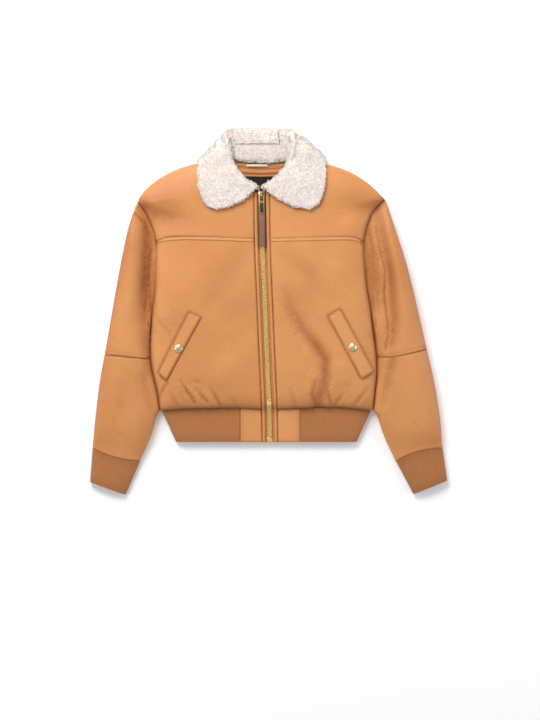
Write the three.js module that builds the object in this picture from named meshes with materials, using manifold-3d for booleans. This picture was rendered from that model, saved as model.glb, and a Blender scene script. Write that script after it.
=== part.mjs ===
// A cropped faux leather jacket with a pile collar, laid flat on its back and zipped up.
// Millimetres. +X is the viewer's right, +Y runs from the hem to the collar, +Z is up from the
// surface it lies on.
// Left and right are the wearer's, so the wearer's right sleeve lies at -X.
import * as THREE from 'three';
import { mergeVertices } from 'three/addons/utils/BufferGeometryUtils.js';
import Module from 'manifold-3d';

const wasm = await Module();
wasm.setup();

// Driving dimensions
const leather = 2.4; // bonded cloth: coated face and its backing
const knit = 3.0; // doubled rib knit
const pile = 7.4; // collar: cloth with curly pile on both faces
const seamGap = 0.3; // air between two pieces sewn to each other
const zipHalf = 8.5; // from the zip's middle to the finished front edge
const placketWide = 6.5; // strip along each front edge
const chainHalf = 4.8; // width of one row of teeth
const chainThick = 3.4;
const tapeThick = 1.2;
const bodyTop = 36; // height of the chest above the surface
const bandTop = 15; // height of the rib hem
const hemY = -255; // lower edge of the rib hem
const neckY = 232; // upper end of the fronts' edges beside the zip
const ribPitch = 4.8;
const ribDepth = 0.8;

const { clamp, lerp } = THREE.MathUtils;
const vec = (x, y, z = 0) => new THREE.Vector3(x, y, z);
const smooth = (q) => THREE.MathUtils.smoothstep(q, 0, 1);
// Cloth that rolls up from an edge: 0 at the edge with a steep start, 1 where it lies level.
const swell = (q, power = 2.2) => (1 - (1 - clamp(q, 0, 1)) ** power) ** (1 / power);

// Reads a table of named columns at a row number that may lie between two rows, on a smooth curve.
function rowAt(rows, at) {
  const last = rows.length - 1;
  const i = clamp(Math.floor(at), 0, last - 1);
  const f = at - i;
  const four = [i - 1, i, i + 1, i + 2].map((n) => rows[clamp(n, 0, last)]);
  const read = {};
  for (const key of Object.keys(four[1])) {
    const [a, b, c, d] = four.map((row) => row[key]);
    read[key] = b + 0.5 * f * (c - a + f * (2 * a - 5 * b + 4 * c - d + f * (3 * (b - c) + d - a)));
  }
  return read;
}

// Reads one column of a table sorted by another one.
function valueAt(rows, key, at, column) {
  const last = rows.length - 1;
  const rising = rows[last][key] > rows[0][key];
  let i = 0;
  while (i < last - 1 && (rising ? rows[i + 1][key] < at : rows[i + 1][key] > at)) i += 1;
  const f = clamp((at - rows[i][key]) / (rows[i + 1][key] - rows[i][key]), 0, 1);
  return rowAt(rows, i + f)[column];
}

// Edges of the body, one table for each side: x and y in plan, z the height of the edge, and
// roll how far in from it the cloth takes to come up to its full height.
const sideEdge = {
  right: [
    { x: -209, y: -194, z: 9, roll: 26 }, // top of the rib hem
    { x: -214, y: -163, z: 12, roll: 32 },
    { x: -222, y: -134, z: 12, roll: 36 },
    { x: -230, y: -104, z: 12, roll: 36 },
    { x: -230, y: -37, z: 12, roll: 34 },
    { x: -226, y: 12, z: 12, roll: 30 }, // underarm
  ],
  left: [
    { x: 200, y: -193, z: 9, roll: 26 },
    { x: 206, y: -163, z: 12, roll: 32 },
    { x: 210, y: -134, z: 12, roll: 36 },
    { x: 211, y: -104, z: 12, roll: 36 },
    { x: 204, y: -37, z: 12, roll: 34 },
    { x: 198, y: 12, z: 12, roll: 30 },
  ],
};
const armholeEdge = {
  right: [
    { x: -257, y: 211, z: 12, roll: 52 }, // shoulder point
    { x: -239, y: 190, z: 15, roll: 40 },
    { x: -227, y: 163, z: 16, roll: 34 },
    { x: -220, y: 136, z: 17, roll: 28 }, // yoke seam
    { x: -220.5, y: 90, z: 17, roll: 24 },
    { x: -221.5, y: 45, z: 16, roll: 26 },
    { x: -226, y: 12, z: 12, roll: 30 }, // underarm
  ],
  left: [
    { x: 228, y: 217, z: 12, roll: 52 },
    { x: 204, y: 196, z: 15, roll: 40 },
    { x: 191, y: 165, z: 16, roll: 34 },
    { x: 185.5, y: 136, z: 17, roll: 28 },
    { x: 187, y: 90, z: 17, roll: 24 },
    { x: 191.5, y: 45, z: 16, roll: 26 },
    { x: 198, y: 12, z: 12, roll: 30 },
  ],
};
const shoulderEdge = {
  right: [
    { x: -257, y: 211, z: 12, roll: 52 },
    { x: -249, y: 229, z: 12, roll: 60 },
    { x: -226, y: 252, z: 13, roll: 66 },
    { x: -192, y: 273, z: 14, roll: 66 },
    { x: -163, y: 284, z: 15, roll: 60 },
    { x: -130, y: 291, z: 16, roll: 52 },
    { x: -92, y: 296, z: 17, roll: 44 }, // neck
  ],
  left: [
    { x: 228, y: 217, z: 12, roll: 52 },
    { x: 212, y: 234, z: 12, roll: 60 },
    { x: 189, y: 255, z: 13, roll: 66 },
    { x: 160, y: 273, z: 14, roll: 66 },
    { x: 133, y: 283, z: 15, roll: 60 },
    { x: 101, y: 290, z: 16, roll: 52 },
    { x: 66, y: 295, z: 17, roll: 44 },
  ],
};
// Rows at which the panels are worked out, as row numbers of the tables above.
const sideStops = [0, 0.12, 0.35, 0.8, 1.5, 2.4, 3.3, 4.2, 5];
const armholeStops = [0, 0.24, 0.6, 1.1, 1.7, 2.3, 3, 3.7, 4.4, 5, 5.5, 5.8, 6];
const yokeStop = 6; // of armholeStops
const shoulderStops = [0, 0.25, 0.8, 1.8, 3, 4.4, 6];

// Middle of the zip, which leans a little as the jacket lies.
const zipLine = [
  { y: 240, x: -14 },
  { y: 170, x: -13.2 },
  { y: 108, x: -12 },
  { y: 53, x: -9.2 },
  { y: -74, x: -4 },
  { y: -189, x: 1 },
  { y: -260, x: 2.2 },
];
const zipX = (y) => valueAt(zipLine, 'y', y, 'x');

// Height of the body along its length, away from the edges.
const bodyHeights = [
  { y: -200, top: bodyTop - 4 },
  { y: -120, top: bodyTop },
  { y: 60, top: bodyTop + 1 },
  { y: 160, top: bodyTop },
  { y: 235, top: bodyTop - 2 },
  { y: 300, top: bodyTop - 8 },
];
// The seam above the rib hem, and the seam below the yoke. lift is the seam's height in mid panel.
const hemSeam = [
  { x: -209, y: -194 },
  { x: -162, y: -190 },
  { x: -115, y: -190 },
  { x: -75, y: -188 },
  { x: 0, y: -191 },
  { x: 70, y: -189 },
  { x: 130, y: -187 },
  { x: 200, y: -193 },
];
const hemSeamY = (x) => valueAt(hemSeam, 'x', x, 'y');
const hemSeamLift = 14.6;
const yokeSeam = [
  { x: -220, y: 136 },
  { x: -200, y: 143.5 },
  { x: -163, y: 145.5 },
  { x: -75, y: 143 },
  { x: -5, y: 140.5 },
  { x: 71, y: 142 },
  { x: 158, y: 144.5 },
  { x: 172, y: 142.5 },
  { x: 185.5, y: 136 },
];
const yokeSeamY = (x) => valueAt(yokeSeam, 'x', x, 'y');

// Largest folds: a soft trough (depth below 0) or ridge from one point to another.
const bodyFolds = [
  { x1: 48, y1: 60, x2: 78, y2: -62, wide: 20, depth: -5.5 },
  { x1: 78, y1: -62, x2: 100, y2: -172, wide: 15, depth: 4 },
  { x1: 96, y1: -30, x2: 122, y2: -165, wide: 15, depth: -8 },
  { x1: 88, y1: -150, x2: 94, y2: -190, wide: 6, depth: -4.5 },
  { x1: 126, y1: -158, x2: 118, y2: -190, wide: 6, depth: -3.5 },
  { x1: 158, y1: -160, x2: 140, y2: -192, wide: 6, depth: -3 },
  { x1: -150, y1: -130, x2: -112, y2: -190, wide: 6, depth: -3.2 },
  { x1: -120, y1: -125, x2: -88, y2: -190, wide: 6, depth: -3.6 },
  { x1: -92, y1: -140, x2: -66, y2: -188, wide: 5, depth: -2.4 },
  { x1: -196, y1: -140, x2: -206, y2: -178, wide: 7, depth: -4 },
  { x1: -60, y1: 30, x2: -18, y2: -110, wide: 26, depth: -3 },
  { x1: -218, y1: 212, x2: -160, y2: 172, wide: 17, depth: -5 },
  { x1: 196, y1: 222, x2: 130, y2: 186, wide: 17, depth: -5 },
];
const sleeveFolds = {
  right: [
    { x1: -243, y1: 172, x2: -241, y2: 60, wide: 13, depth: -7 },
    { x1: -241, y1: 60, x2: -248, y2: -70, wide: 13, depth: -6.5 },
    { x1: -262, y1: -120, x2: -292, y2: -230, wide: 14, depth: -3 },
    { x1: -246, y1: -112, x2: -236, y2: -180, wide: 9, depth: -3.5 },
  ],
  left: [
    { x1: 216, y1: 180, x2: 217, y2: 70, wide: 13, depth: -7 },
    { x1: 217, y1: 70, x2: 234, y2: -75, wide: 14, depth: -7 },
    { x1: 250, y1: -110, x2: 262, y2: -230, wide: 14, depth: -3 },
    { x1: 224, y1: -105, x2: 220, y2: -170, wide: 9, depth: -3.5 },
  ],
};

// How far from a to b the point p lies, and its distance from that line, in plan.
function beside(px, py, ax, ay, bx, by) {
  const [dx, dy] = [bx - ax, by - ay];
  const along = clamp(((px - ax) * dx + (py - ay) * dy) / (dx ** 2 + dy ** 2), 0, 1);
  const away = Math.hypot(px - lerp(ax, bx, along), py - lerp(ay, by, along));
  return { along, away };
}

function foldHeight(folds, x, y) {
  let height = 0;
  for (const fold of folds) {
    const { along, away } = beside(x, y, fold.x1, fold.y1, fold.x2, fold.y2);
    const taper = 0.35 + 0.65 * Math.sin(Math.PI * along);
    height += fold.depth * taper * Math.exp(-((away / fold.wide) ** 2));
  }
  return height;
}

// The whole edge of one side as a chain of points, for measuring how far in a point lies.
function edgeChain(side) {
  const chain = [];
  const add = (rows, kind) => {
    for (let at = 0; at <= rows.length - 1 + 1e-6; at += 0.25) chain.push({ ...rowAt(rows, at), kind });
  };
  add(sideEdge[side], 0);
  add([...armholeEdge[side]].reverse(), 1);
  add(shoulderEdge[side], 0);
  const armhole = chain.filter((p) => p.kind === 1);
  for (const p of chain) {
    const end = Math.min(...[armhole[0], armhole.at(-1)].map((q) => Math.hypot(p.x - q.x, p.y - q.y)));
    p.under = p.kind ? p.z * (1 - swell(end / edgeRound)) : p.z;
  }
  return chain;
}
const edgeRound = 9; // how far in the underside takes to come down onto the surface
const chains = { right: edgeChain('right'), left: edgeChain('left') };

// The nearest point of the body's edge: its height, its roll, the underside's height, and the distance.
function nearestEdge(side, x, y) {
  const chain = chains[side];
  let best = { away: Infinity };
  for (let i = 0; i < chain.length - 1; i += 1) {
    const [a, b] = [chain[i], chain[i + 1]];
    if (a.x === b.x && a.y === b.y) continue;
    const { along, away } = beside(x, y, a.x, a.y, b.x, b.y);
    if (away < best.away) {
      best = { away };
      for (const key of ['z', 'roll', 'under']) best[key] = lerp(a[key], b[key], along);
    }
  }
  return best;
}

// Top of the body's cloth at a point in plan.
function bodyHeight(x, y) {
  const edge = nearestEdge(x < zipX(y) ? 'right' : 'left', x, y);
  const base = lerp(edge.z, hemSeamLift, swell(edge.away / 40) * smooth((-150 - y) / 40));
  const top = valueAt(bodyHeights, 'y', y, 'top') - 3 * Math.exp(-(((x - zipX(y)) / 26) ** 2));
  const rise = swell(edge.away / edge.roll) * swell((y - hemSeamY(x)) / 26);
  return base + (top + foldHeight(bodyFolds, x, y) - base) * rise;
}

// Underside of the back. It lies on the surface, but for its rounded edges and the collar below the neck.
const underCollar = 9.4;
function collarLift(x, y) {
  const across = smooth((165 - Math.abs(x + 13)) / 45);
  return underCollar * across * smooth((y - 232) / 34);
}
function backHeight(x, y) {
  const edge = nearestEdge(x < zipX(y) ? 'right' : 'left', x, y);
  const flat = collarLift(x, y);
  return flat + (edge.under - flat) * (1 - swell(edge.away / edgeRound));
}

// Closed wall between an outer grid of points and an inner one. wrap joins the last column to the first.
function wallGeometry(outer, inner, wrap = false) {
  const rows = outer.length;
  const cols = outer[0].length;
  const position = [...outer, ...inner].flat().flatMap((p) => [p.x, p.y, p.z]);
  const index = [];
  const at = (layer, r, c) => layer * rows * cols + r * cols + (c % cols);
  const points = [...outer, ...inner].flat();
  // a quad is cut along the diagonal that keeps both triangles facing one way
  const quad = (a, b, c, d) => {
    const cross = (i, j, k) => points[j].clone().sub(points[i]).cross(points[k].clone().sub(points[i]));
    if (cross(a, b, c).dot(cross(a, c, d)) >= 0) index.push(a, b, c, a, c, d);
    else index.push(b, c, d, b, d, a);
  };
  const across = wrap ? cols : cols - 1;
  for (let c = 0; c < across; c += 1) {
    for (let r = 0; r < rows - 1; r += 1) {
      quad(at(0, r, c), at(0, r, c + 1), at(0, r + 1, c + 1), at(0, r + 1, c));
      quad(at(1, r, c), at(1, r + 1, c), at(1, r + 1, c + 1), at(1, r, c + 1));
    }
    quad(at(0, 0, c), at(1, 0, c), at(1, 0, c + 1), at(0, 0, c + 1));
    quad(at(0, rows - 1, c), at(0, rows - 1, c + 1), at(1, rows - 1, c + 1), at(1, rows - 1, c));
  }
  if (!wrap) {
    for (let r = 0; r < rows - 1; r += 1) {
      quad(at(0, r, 0), at(0, r + 1, 0), at(1, r + 1, 0), at(1, r, 0));
      quad(at(0, r, cols - 1), at(1, r, cols - 1), at(1, r + 1, cols - 1), at(0, r + 1, cols - 1));
    }
  }
  return outward(position, index);
}

// A geometry whose faces point out, whichever way round its triangles were listed.
function outward(position, index) {
  const corner = (i) => vec(position[3 * i], position[3 * i + 1], position[3 * i + 2]);
  let volume = 0;
  for (let i = 0; i < index.length; i += 3) {
    volume += corner(index[i]).dot(corner(index[i + 1]).cross(corner(index[i + 2])));
  }
  if (volume < 0) index.reverse();
  const geometry = new THREE.BufferGeometry();
  geometry.setAttribute('position', new THREE.Float32BufferAttribute(position, 3));
  geometry.setIndex(index);
  return geometry;
}

// Unit normals of a grid of points. flip turns them to the other face.
function gridNormals(grid, wrap = false, flip = false) {
  const rows = grid.length;
  const cols = grid[0].length;
  const pick = (r, c) => grid[clamp(r, 0, rows - 1)][wrap ? (c + cols) % cols : clamp(c, 0, cols - 1)];
  return grid.map((row, r) =>
    row.map((_, c) => {
      const across = pick(r, c + 1).clone().sub(pick(r, c - 1));
      const along = pick(r + 1, c).clone().sub(pick(r - 1, c));
      return across.cross(along).normalize().multiplyScalar(flip ? -1 : 1);
    })
  );
}

const moved = (grid, directions, by) =>
  grid.map((row, r) => row.map((p, c) => p.clone().addScaledVector(directions[r][c], by)));

// The armhole as a closed ring: front seam from shoulder to underarm, then the back seam.
// inward points into the opening within the ring's own upright surface, so that the body and
// the sleeve are cut along one line there; out points from the body to the sleeve.
function armholeRing(side) {
  const rows = armholeEdge[side];
  const front = armholeStops.map((at) => rowAt(rows, at));
  const length = (p, q) => Math.hypot(p.x - q.x, p.y - q.y);
  const toEnd = (p) => Math.min(length(p, front[0]), length(p, front.at(-1)));
  const under = front.map((p) => p.z * (1 - swell(toEnd(p) / edgeRound)));
  const back = front.map((p, i) => ({ ...p, z: under[i] })).slice(1, -1).reverse();
  const points = [...front, ...back].map((p) => vec(p.x, p.y, p.z));
  const count = points.length;
  const toSleeve = side === 'right' ? -1 : 1;
  const plan = armholeStops.map((at) => {
    const [a, b] = [rowAt(rows, Math.max(at - 0.1, 0)), rowAt(rows, Math.min(at + 0.1, 6))];
    const out = vec(a.y - b.y, b.x - a.x).normalize();
    return out.x * toSleeve < 0 ? out.negate() : out;
  });
  const out = [...plan, ...plan.slice(1, -1).reverse()];
  const middle = points.reduce((sum, p) => sum.add(p), vec(0, 0)).divideScalar(count);
  const inward = points.map((p, i) => {
    const along = points[(i + 1) % count].clone().sub(points[(i + count - 1) % count]);
    const aim = along.cross(out[i]).normalize();
    const last = armholeStops.length - 1;
    const frontHalf = i <= last;
    const wanted = i === 0 || i === last ? middle.clone().sub(p) : vec(0, 0, frontHalf ? -1 : 1);
    return aim.dot(wanted) < 0 ? aim.negate() : aim;
  });
  return { points, out, inward };
}
const armholes = { right: armholeRing('right'), left: armholeRing('left') };

// Edge of one side from the hem seam to the neck: a point, and the way into the cloth there, for
// the front or the back layer.
function bodyEdge(side, layer) {
  const inwardX = side === 'right' ? 1 : -1;
  const fold = (rows, at) => {
    const p = rowAt(rows, at);
    const [a, b] = [rowAt(rows, Math.max(at - 0.1, 0)), rowAt(rows, Math.min(at + 0.1, rows.length - 1))];
    const into = vec(b.y - a.y, a.x - b.x).normalize().multiplyScalar(inwardX);
    const apart = (layer === 'front' ? 0.5 : -0.5) * seamGap;
    return { point: vec(p.x, p.y, p.z + apart), into };
  };
  const ring = armholes[side];
  const last = armholeStops.length - 1;
  const seam = armholeStops.map((_, i) => {
    const k = layer === 'front' || i === 0 || i === last ? i : ring.points.length - i;
    const point = ring.points[k].clone().addScaledVector(ring.out[k], -0.5 * seamGap);
    if (i === 0 || i === last) point.z += (layer === 'front' ? 0.5 : -0.5) * seamGap;
    return { point, into: ring.inward[k] };
  });
  return [
    ...sideStops.slice(0, -1).map((at) => fold(sideEdge[side], at)),
    ...seam.reverse(),
    ...shoulderStops.slice(1).map((at) => fold(shoulderEdge[side], at)),
  ];
}
const yokeRow = sideStops.length - 1 + armholeStops.length - 1 - yokeStop;

// Points inside four edges that share their corners, blended from all four.
function patchPoint(left, right, bottom, top, u, v) {
  const across = (edge, key) => (1 - u) * edge.at(0)[key] + u * edge.at(1)[key];
  const mix = (key) =>
    (1 - u) * left[key] + u * right[key] + (1 - v) * bottom.at(u)[key] + v * top.at(u)[key] -
    ((1 - v) * across(bottom, key) + v * across(top, key));
  return vec(mix('x'), mix('y'));
}

// Front edge of one side, from the hem seam up the zip and round the neck, as plan points.
function frontEdgePoints(side, count) {
  const away = side === 'right' ? -1 : 1;
  const middle = -13.5;
  const zipPart = (y) => ({ x: zipX(y) + away * (zipHalf + placketWide + 0.2), y });
  const neck = [
    { x: Math.abs(zipPart(neckY).x - middle), y: neckY },
    { x: 27.5, y: 236.5 },
    { x: 41.5, y: 244.5 },
    { x: 55, y: 258.5 },
    { x: 64.5, y: 279.5 },
    { x: 70, y: 295 },
  ];
  const neckPart = (at) => {
    const p = rowAt(neck, at);
    return { x: middle + away * p.x, y: p.y };
  };
  const rows = [];
  const yokeY = 140;
  for (let i = 0; i < count; i += 1) {
    if (i <= yokeRow) {
      rows.push(zipPart(lerp(-191, yokeY, rowShare(side, i))));
    } else {
      const f = (i - yokeRow) / (count - 1 - yokeRow);
      const onNeck = ((f - 0.5) / 0.5) * (neck.length - 1);
      rows.push(f < 0.5 ? zipPart(lerp(yokeY, neckY, f / 0.5)) : neckPart(onNeck));
    }
  }
  return rows;
}
// How far up from the hem seam to the yoke seam a row's outer end lies, from 0 to 1.
function rowShare(side, i) {
  const edge = bodyEdge(side, 'front');
  const [low, high] = [edge[0].point.y, edge[yokeRow].point.y];
  return (edge[i].point.y - low) / (high - low);
}

// Columns from a side edge, where the cloth curves most, to the front edge.
const frontColumns = [0, 0.012, 0.045, 0.1, 0.17, 0.27, 0.4, 0.55, 0.72, 0.88, 1];

// One front with its yoke, as a grid of points on the cloth's upper face, and the way into the cloth.
function frontGrid(side) {
  const edge = bodyEdge(side, 'front');
  const zipEdge = frontEdgePoints(side, edge.length);
  const grid = edge.map(({ point }, r) =>
    frontColumns.map((u) => {
      if (u === 0) return point.clone();
      const x = lerp(point.x, zipEdge[r].x, u);
      let y = lerp(point.y, zipEdge[r].y, u);
      if (r <= yokeRow) {
        // rows follow the hem seam at the bottom and the yoke seam at the top
        const share = rowShare(side, r);
        const bow = (seamY, low) => seamY(x) - lerp(seamY(point.x), seamY(zipEdge[low].x), u);
        y += (1 - share) * bow(hemSeamY, 0) + share * bow(yokeSeamY, yokeRow);
      } else {
        const share = (r - yokeRow) / (edge.length - 1 - yokeRow);
        const bow = yokeSeamY(x) - lerp(yokeSeamY(edge[yokeRow].point.x), yokeSeamY(zipEdge[yokeRow].x), u);
        y += bow * Math.max(0, 1 - 3 * share);
      }
      return vec(x, y, Math.max(bodyHeight(x, y), point.z * 0.9));
    })
  );
  const into = gridNormals(grid).map((row, r) =>
    row.map((n, c) => (c === 0 ? edge[r].into.clone() : n.z > 0 ? n.negate() : n))
  );
  into[0] = within(into[0], vec(0, 1));
  return { grid, into };
}

// Splits a grid at a seam and leaves the seam's gap between the two parts.
function splitRows(grid, into, row, lengthways) {
  const shifted = (r, by) => grid[r].map((p, c) => p.clone().addScaledVector(lengthways(r, c), by));
  const lower = [...grid.slice(0, row), shifted(row, -0.5 * seamGap)];
  const upper = [shifted(row, 0.5 * seamGap), ...grid.slice(row + 1)];
  return [
    { grid: lower, into: into.slice(0, row + 1) },
    { grid: upper, into: into.slice(row) },
  ];
}

// Keeps the ways into the cloth within the cut at a seam, which faces along axis.
const within = (row, axis) => row.map((n) => n.clone().addScaledVector(axis, -n.dot(axis)).normalize());

const wallOf = ({ grid, into }, thickness, wrap) => wallGeometry(grid, moved(grid, into, thickness), wrap);

const finishes = {
  leather: { color: 0xd9975f, roughness: 0.5, metalness: 0 },
  knit: { color: 0xb0753f, roughness: 0.95, metalness: 0 },
  pile: { color: 0xf2e6dc, roughness: 1, metalness: 0 },
  tape: { color: 0xb98a4e, roughness: 0.9, metalness: 0 },
  brass: { color: 0xc9a34e, roughness: 0.32, metalness: 1 },
  strap: { color: 0x7d5a48, roughness: 0.6, metalness: 0 },
  label: { color: 0x2b2320, roughness: 0.8, metalness: 0 },
};
const jacket = new THREE.Group();

function addPiece(name, geometry, finish) {
  const mesh = new THREE.Mesh(geometry, new THREE.MeshStandardMaterial(finishes[finish]));
  mesh.name = name;
  jacket.add(mesh);
  return mesh;
}

// Fronts and yokes
const upward = () => vec(0, 1, 0);
const fronts = {};
for (const side of ['right', 'left']) {
  const whole = frontGrid(side);
  fronts[side] = whole;
  const [lower, upper] = splitRows(whole.grid, whole.into, yokeRow, upward);
  addPiece(`front_${side}`, wallOf(lower, leather), 'leather');
  addPiece(`yoke_${side}`, wallOf(upper, leather), 'leather');
}

// Back, in one piece
const backColumns = [0, 0.006, 0.02, 0.05, 0.14, 0.3, 0.5, 0.7, 0.86, 0.95, 0.98, 0.994, 1];
function backGrid() {
  const [west, east] = [bodyEdge('right', 'back'), bodyEdge('left', 'back')];
  const last = west.length - 1;
  const grid = west.map((a, r) =>
    backColumns.map((u) => {
      if (u === 0) return a.point.clone();
      if (u === 1) return east[r].point.clone();
      const x = lerp(a.point.x, east[r].point.x, u);
      const straight = lerp(a.point.y, east[r].point.y, u);
      const level = Math.min(r / yokeRow, 1);
      const bow = 4 * u * (1 - u);
      const neckRows = Math.max(0, (r - yokeRow) / (last - yokeRow));
      const seam = hemSeamY(x) - lerp(hemSeamY(a.point.x), hemSeamY(east[r].point.x), u);
      const y = straight + (1 - level) * seam - bow * 9 * neckRows ** 3;
      return vec(x, y, backHeight(x, y));
    })
  );
  const into = gridNormals(grid).map((row, r) =>
    row.map((n, c) => {
      if (c === 0) return west[r].into.clone();
      if (c === backColumns.length - 1) return east[r].into.clone();
      return n.z < 0 ? n.negate() : n;
    })
  );
  into[0] = within(into[0], vec(0, 1));
  return { grid, into };
}
const back = backGrid();
addPiece('back', wallOf(back, leather), 'leather');

// Sleeves. Each table runs from the armhole to the end of the cuff: the outer and the inner end of
// a section across the sleeve, its height, the height of its edges, and how far its middle bows
// towards the cuff.
const sleeveRows = {
  right: [
    { ox: -257, oy: 211, ix: -226, iy: 12, top: 33, lip: 12, bow: 0 },
    { ox: -271, oy: 180, ix: -228, iy: -6, top: 34, lip: 12, bow: 0 },
    { ox: -284, oy: 125, ix: -230, iy: -30, top: 36, lip: 12, bow: 0 },
    { ox: -299, oy: 45, ix: -231.6, iy: -58, top: 37, lip: 12, bow: 0 },
    { ox: -321, oy: -84, ix: -231.8, iy: -93, top: 36, lip: 12, bow: 1 }, // elbow seam
    { ox: -330, oy: -128, ix: -226, iy: -128, top: 36, lip: 12, bow: 1 },
    { ox: -338, oy: -190, ix: -214, iy: -178, top: 34, lip: 12, bow: 3 },
    { ox: -342, oy: -232, ix: -226, iy: -238, top: 31, lip: 11, bow: 5 },
    { ox: -345, oy: -266, ix: -251, iy: -292, top: 18, lip: 9, bow: 6 }, // cuff seam
    { ox: -350, oy: -333, ix: -280, iy: -358.5, top: 17, lip: 8, bow: 0 }, // end of the cuff
  ],
  left: [
    { ox: 228, oy: 217, ix: 198, iy: 12, top: 33, lip: 12, bow: 0 },
    { ox: 240, oy: 188, ix: 201, iy: -6, top: 34, lip: 12, bow: 0 },
    { ox: 255, oy: 140, ix: 204.5, iy: -30, top: 36, lip: 12, bow: 0 },
    { ox: 275, oy: 78, ix: 209, iy: -58, top: 37, lip: 12, bow: 0 },
    { ox: 309, oy: -73, ix: 212.3, iy: -90, top: 36, lip: 12, bow: 4 },
    { ox: 321, oy: -122, ix: 211.8, iy: -130, top: 36, lip: 12, bow: 2 },
    { ox: 332, oy: -180, ix: 205.5, iy: -178, top: 34, lip: 12, bow: 1 },
    { ox: 338, oy: -232, ix: 221, iy: -238, top: 31, lip: 11, bow: 0 },
    { ox: 340, oy: -267, ix: 248, iy: -293, top: 18, lip: 9, bow: -7 },
    { ox: 349.5, oy: -330, ix: 282.5, iy: -357.5, top: 17, lip: 8, bow: 0 },
  ],
};
const sleeveStops = [0, 0.35, 0.8, 1.4, 2, 2.7, 3.4, 4, 4.7, 5.4, 6.2, 6.9, 7.5, 7.85, 8, 8.12, 8.5, 9];
const elbowStop = 7; // of sleeveStops
const cuffStop = 14;
const sleeveShares = [0, 0.03, 0.09, 0.18, 0.29, 0.41, 0.53, 0.65, 0.76, 0.86, 0.93, 0.975, 1];

// Puts a share across the sleeve into plan. Sections near the armhole take on the armhole's own line.
function sleevePlan(side, at, k) {
  const row = rowAt(sleeveRows[side], at);
  const share = lerp(armholeStops[k] / 6, sleeveShares[k], smooth(at / 3));
  const chord = vec(row.ix - row.ox, row.iy - row.oy);
  const sideways = vec(chord.y, -chord.x).normalize();
  if (sideways.y > 0) sideways.negate();
  const p = vec(lerp(row.ox, row.ix, share), lerp(row.oy, row.iy, share));
  p.addScaledVector(sideways, row.bow * 4 * share * (1 - share));
  const seam = rowAt(armholeEdge[side], armholeStops[k]);
  const [first, last] = [armholeEdge[side][0], armholeEdge[side][6]];
  const flat = armholeStops[k] / 6;
  const near = (1 - smooth(at / 4)) ** 1.3;
  p.x += near * (seam.x - lerp(first.x, last.x, flat));
  p.y += near * (seam.y - lerp(first.y, last.y, flat));
  return { p, row, share, width: chord.length() };
}

function sleeveTop(side, at, k) {
  const { p, row, share, width } = sleevePlan(side, at, k);
  const level = swell((share * width) / 34) * swell(((1 - share) * width) / 40, 1.9);
  const seamSquash = swell((8 - at) / 1.1, 2.4);
  const full = at < 8 ? lerp(18, row.top, seamSquash) : row.top;
  const crease = at < 8 ? foldHeight(sleeveFolds[side], p.x, p.y) : 0;
  const open = row.lip + (full + crease - row.lip) * level;
  const seam = armholes[side].points[k];
  let away = Infinity;
  for (let i = 0; i < armholeStops.length - 1; i += 1) {
    const [a, b] = [armholes[side].points[i], armholes[side].points[i + 1]];
    away = Math.min(away, beside(p.x, p.y, a.x, a.y, b.x, b.y).away);
  }
  const nearSeam = at < 4 ? 1 - smooth(away / 42) : 0;
  p.z = Math.max(lerp(open, lerp(row.lip, seam.z - 2, level), nearSeam), leather * 2 + 2);
  return p;
}

function sleeveUnder(side, at, k) {
  const { p, row, share, width } = sleevePlan(side, at, k);
  p.z = row.lip * (1 - swell((Math.min(share, 1 - share) * width) / edgeRound));
  return p;
}

// The whole sleeve with its cuff as one grid of rings, first along the front, then back under it.
function sleeveGrid(side) {
  const last = armholeStops.length - 1;
  const ring = armholes[side];
  const grid = sleeveStops.map((at, r) => {
    if (r === 0) return ring.points.map((p, i) => p.clone().addScaledVector(ring.out[i], 0.5 * seamGap));
    const front = armholeStops.map((_, k) => sleeveTop(side, at, k));
    const under = armholeStops.map((_, k) => sleeveUnder(side, at, k)).slice(1, last).reverse();
    return [...front, ...under];
  });
  const normals = gridNormals(grid, true, side === 'right');
  const into = normals.map((row, r) =>
    row.map((n, c) => {
      if (r === 0) return ring.inward[c].clone();
      const onTop = c <= last;
      const wanted = onTop ? -1 : 1;
      const edge = c === 0 || c === last;
      if (!edge && n.z * wanted < 0) n.negate();
      return r === 1 ? n.lerp(ring.inward[c], 0.6).normalize() : n;
    })
  );
  for (let r = 1; r < grid.length; r += 1) {
    for (const c of [0, last]) {
      const aim = grid[r][c === 0 ? last : 0].clone().sub(grid[r][c]).setZ(0).normalize();
      into[r][c] = aim;
    }
  }
  return { grid, into };
}

// Height of a grid's own facets at a point in plan, or nothing where the grid doesn't reach.
function gridHeight(grid, x, y) {
  const corner = new THREE.Triangle();
  const spot = vec(x, y);
  const weights = vec(0, 0);
  let highest = null;
  for (let r = 0; r < grid.length - 1; r += 1) {
    for (let c = 0; c < grid[0].length - 1; c += 1) {
      const cell = [grid[r][c], grid[r][c + 1], grid[r + 1][c + 1], grid[r + 1][c]];
      for (const three of [[0, 1, 2], [0, 2, 3]]) {
        const flat = three.map((k) => cell[k].clone().setZ(0));
        corner.set(...flat);
        if (!corner.getBarycoord(spot, weights)) continue;
        if (Math.min(weights.x, weights.y, weights.z) < -1e-6) continue;
        const z = three.reduce((sum, k, i) => sum + cell[k].z * weights.getComponent(i), 0);
        highest = Math.max(highest ?? z, z);
      }
    }
  }
  return highest;
}

// A point on a row of points, by its place across in plan.
function acrossRow(row, x) {
  const rising = row.at(-1).x > row[0].x;
  let i = 0;
  while (i < row.length - 2 && (rising ? row[i + 1].x < x : row[i + 1].x > x)) i += 1;
  const f = clamp((x - row[i].x) / (row[i + 1].x - row[i].x), 0, 1);
  return row[i].clone().lerp(row[i + 1], f).setX(x);
}

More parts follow.
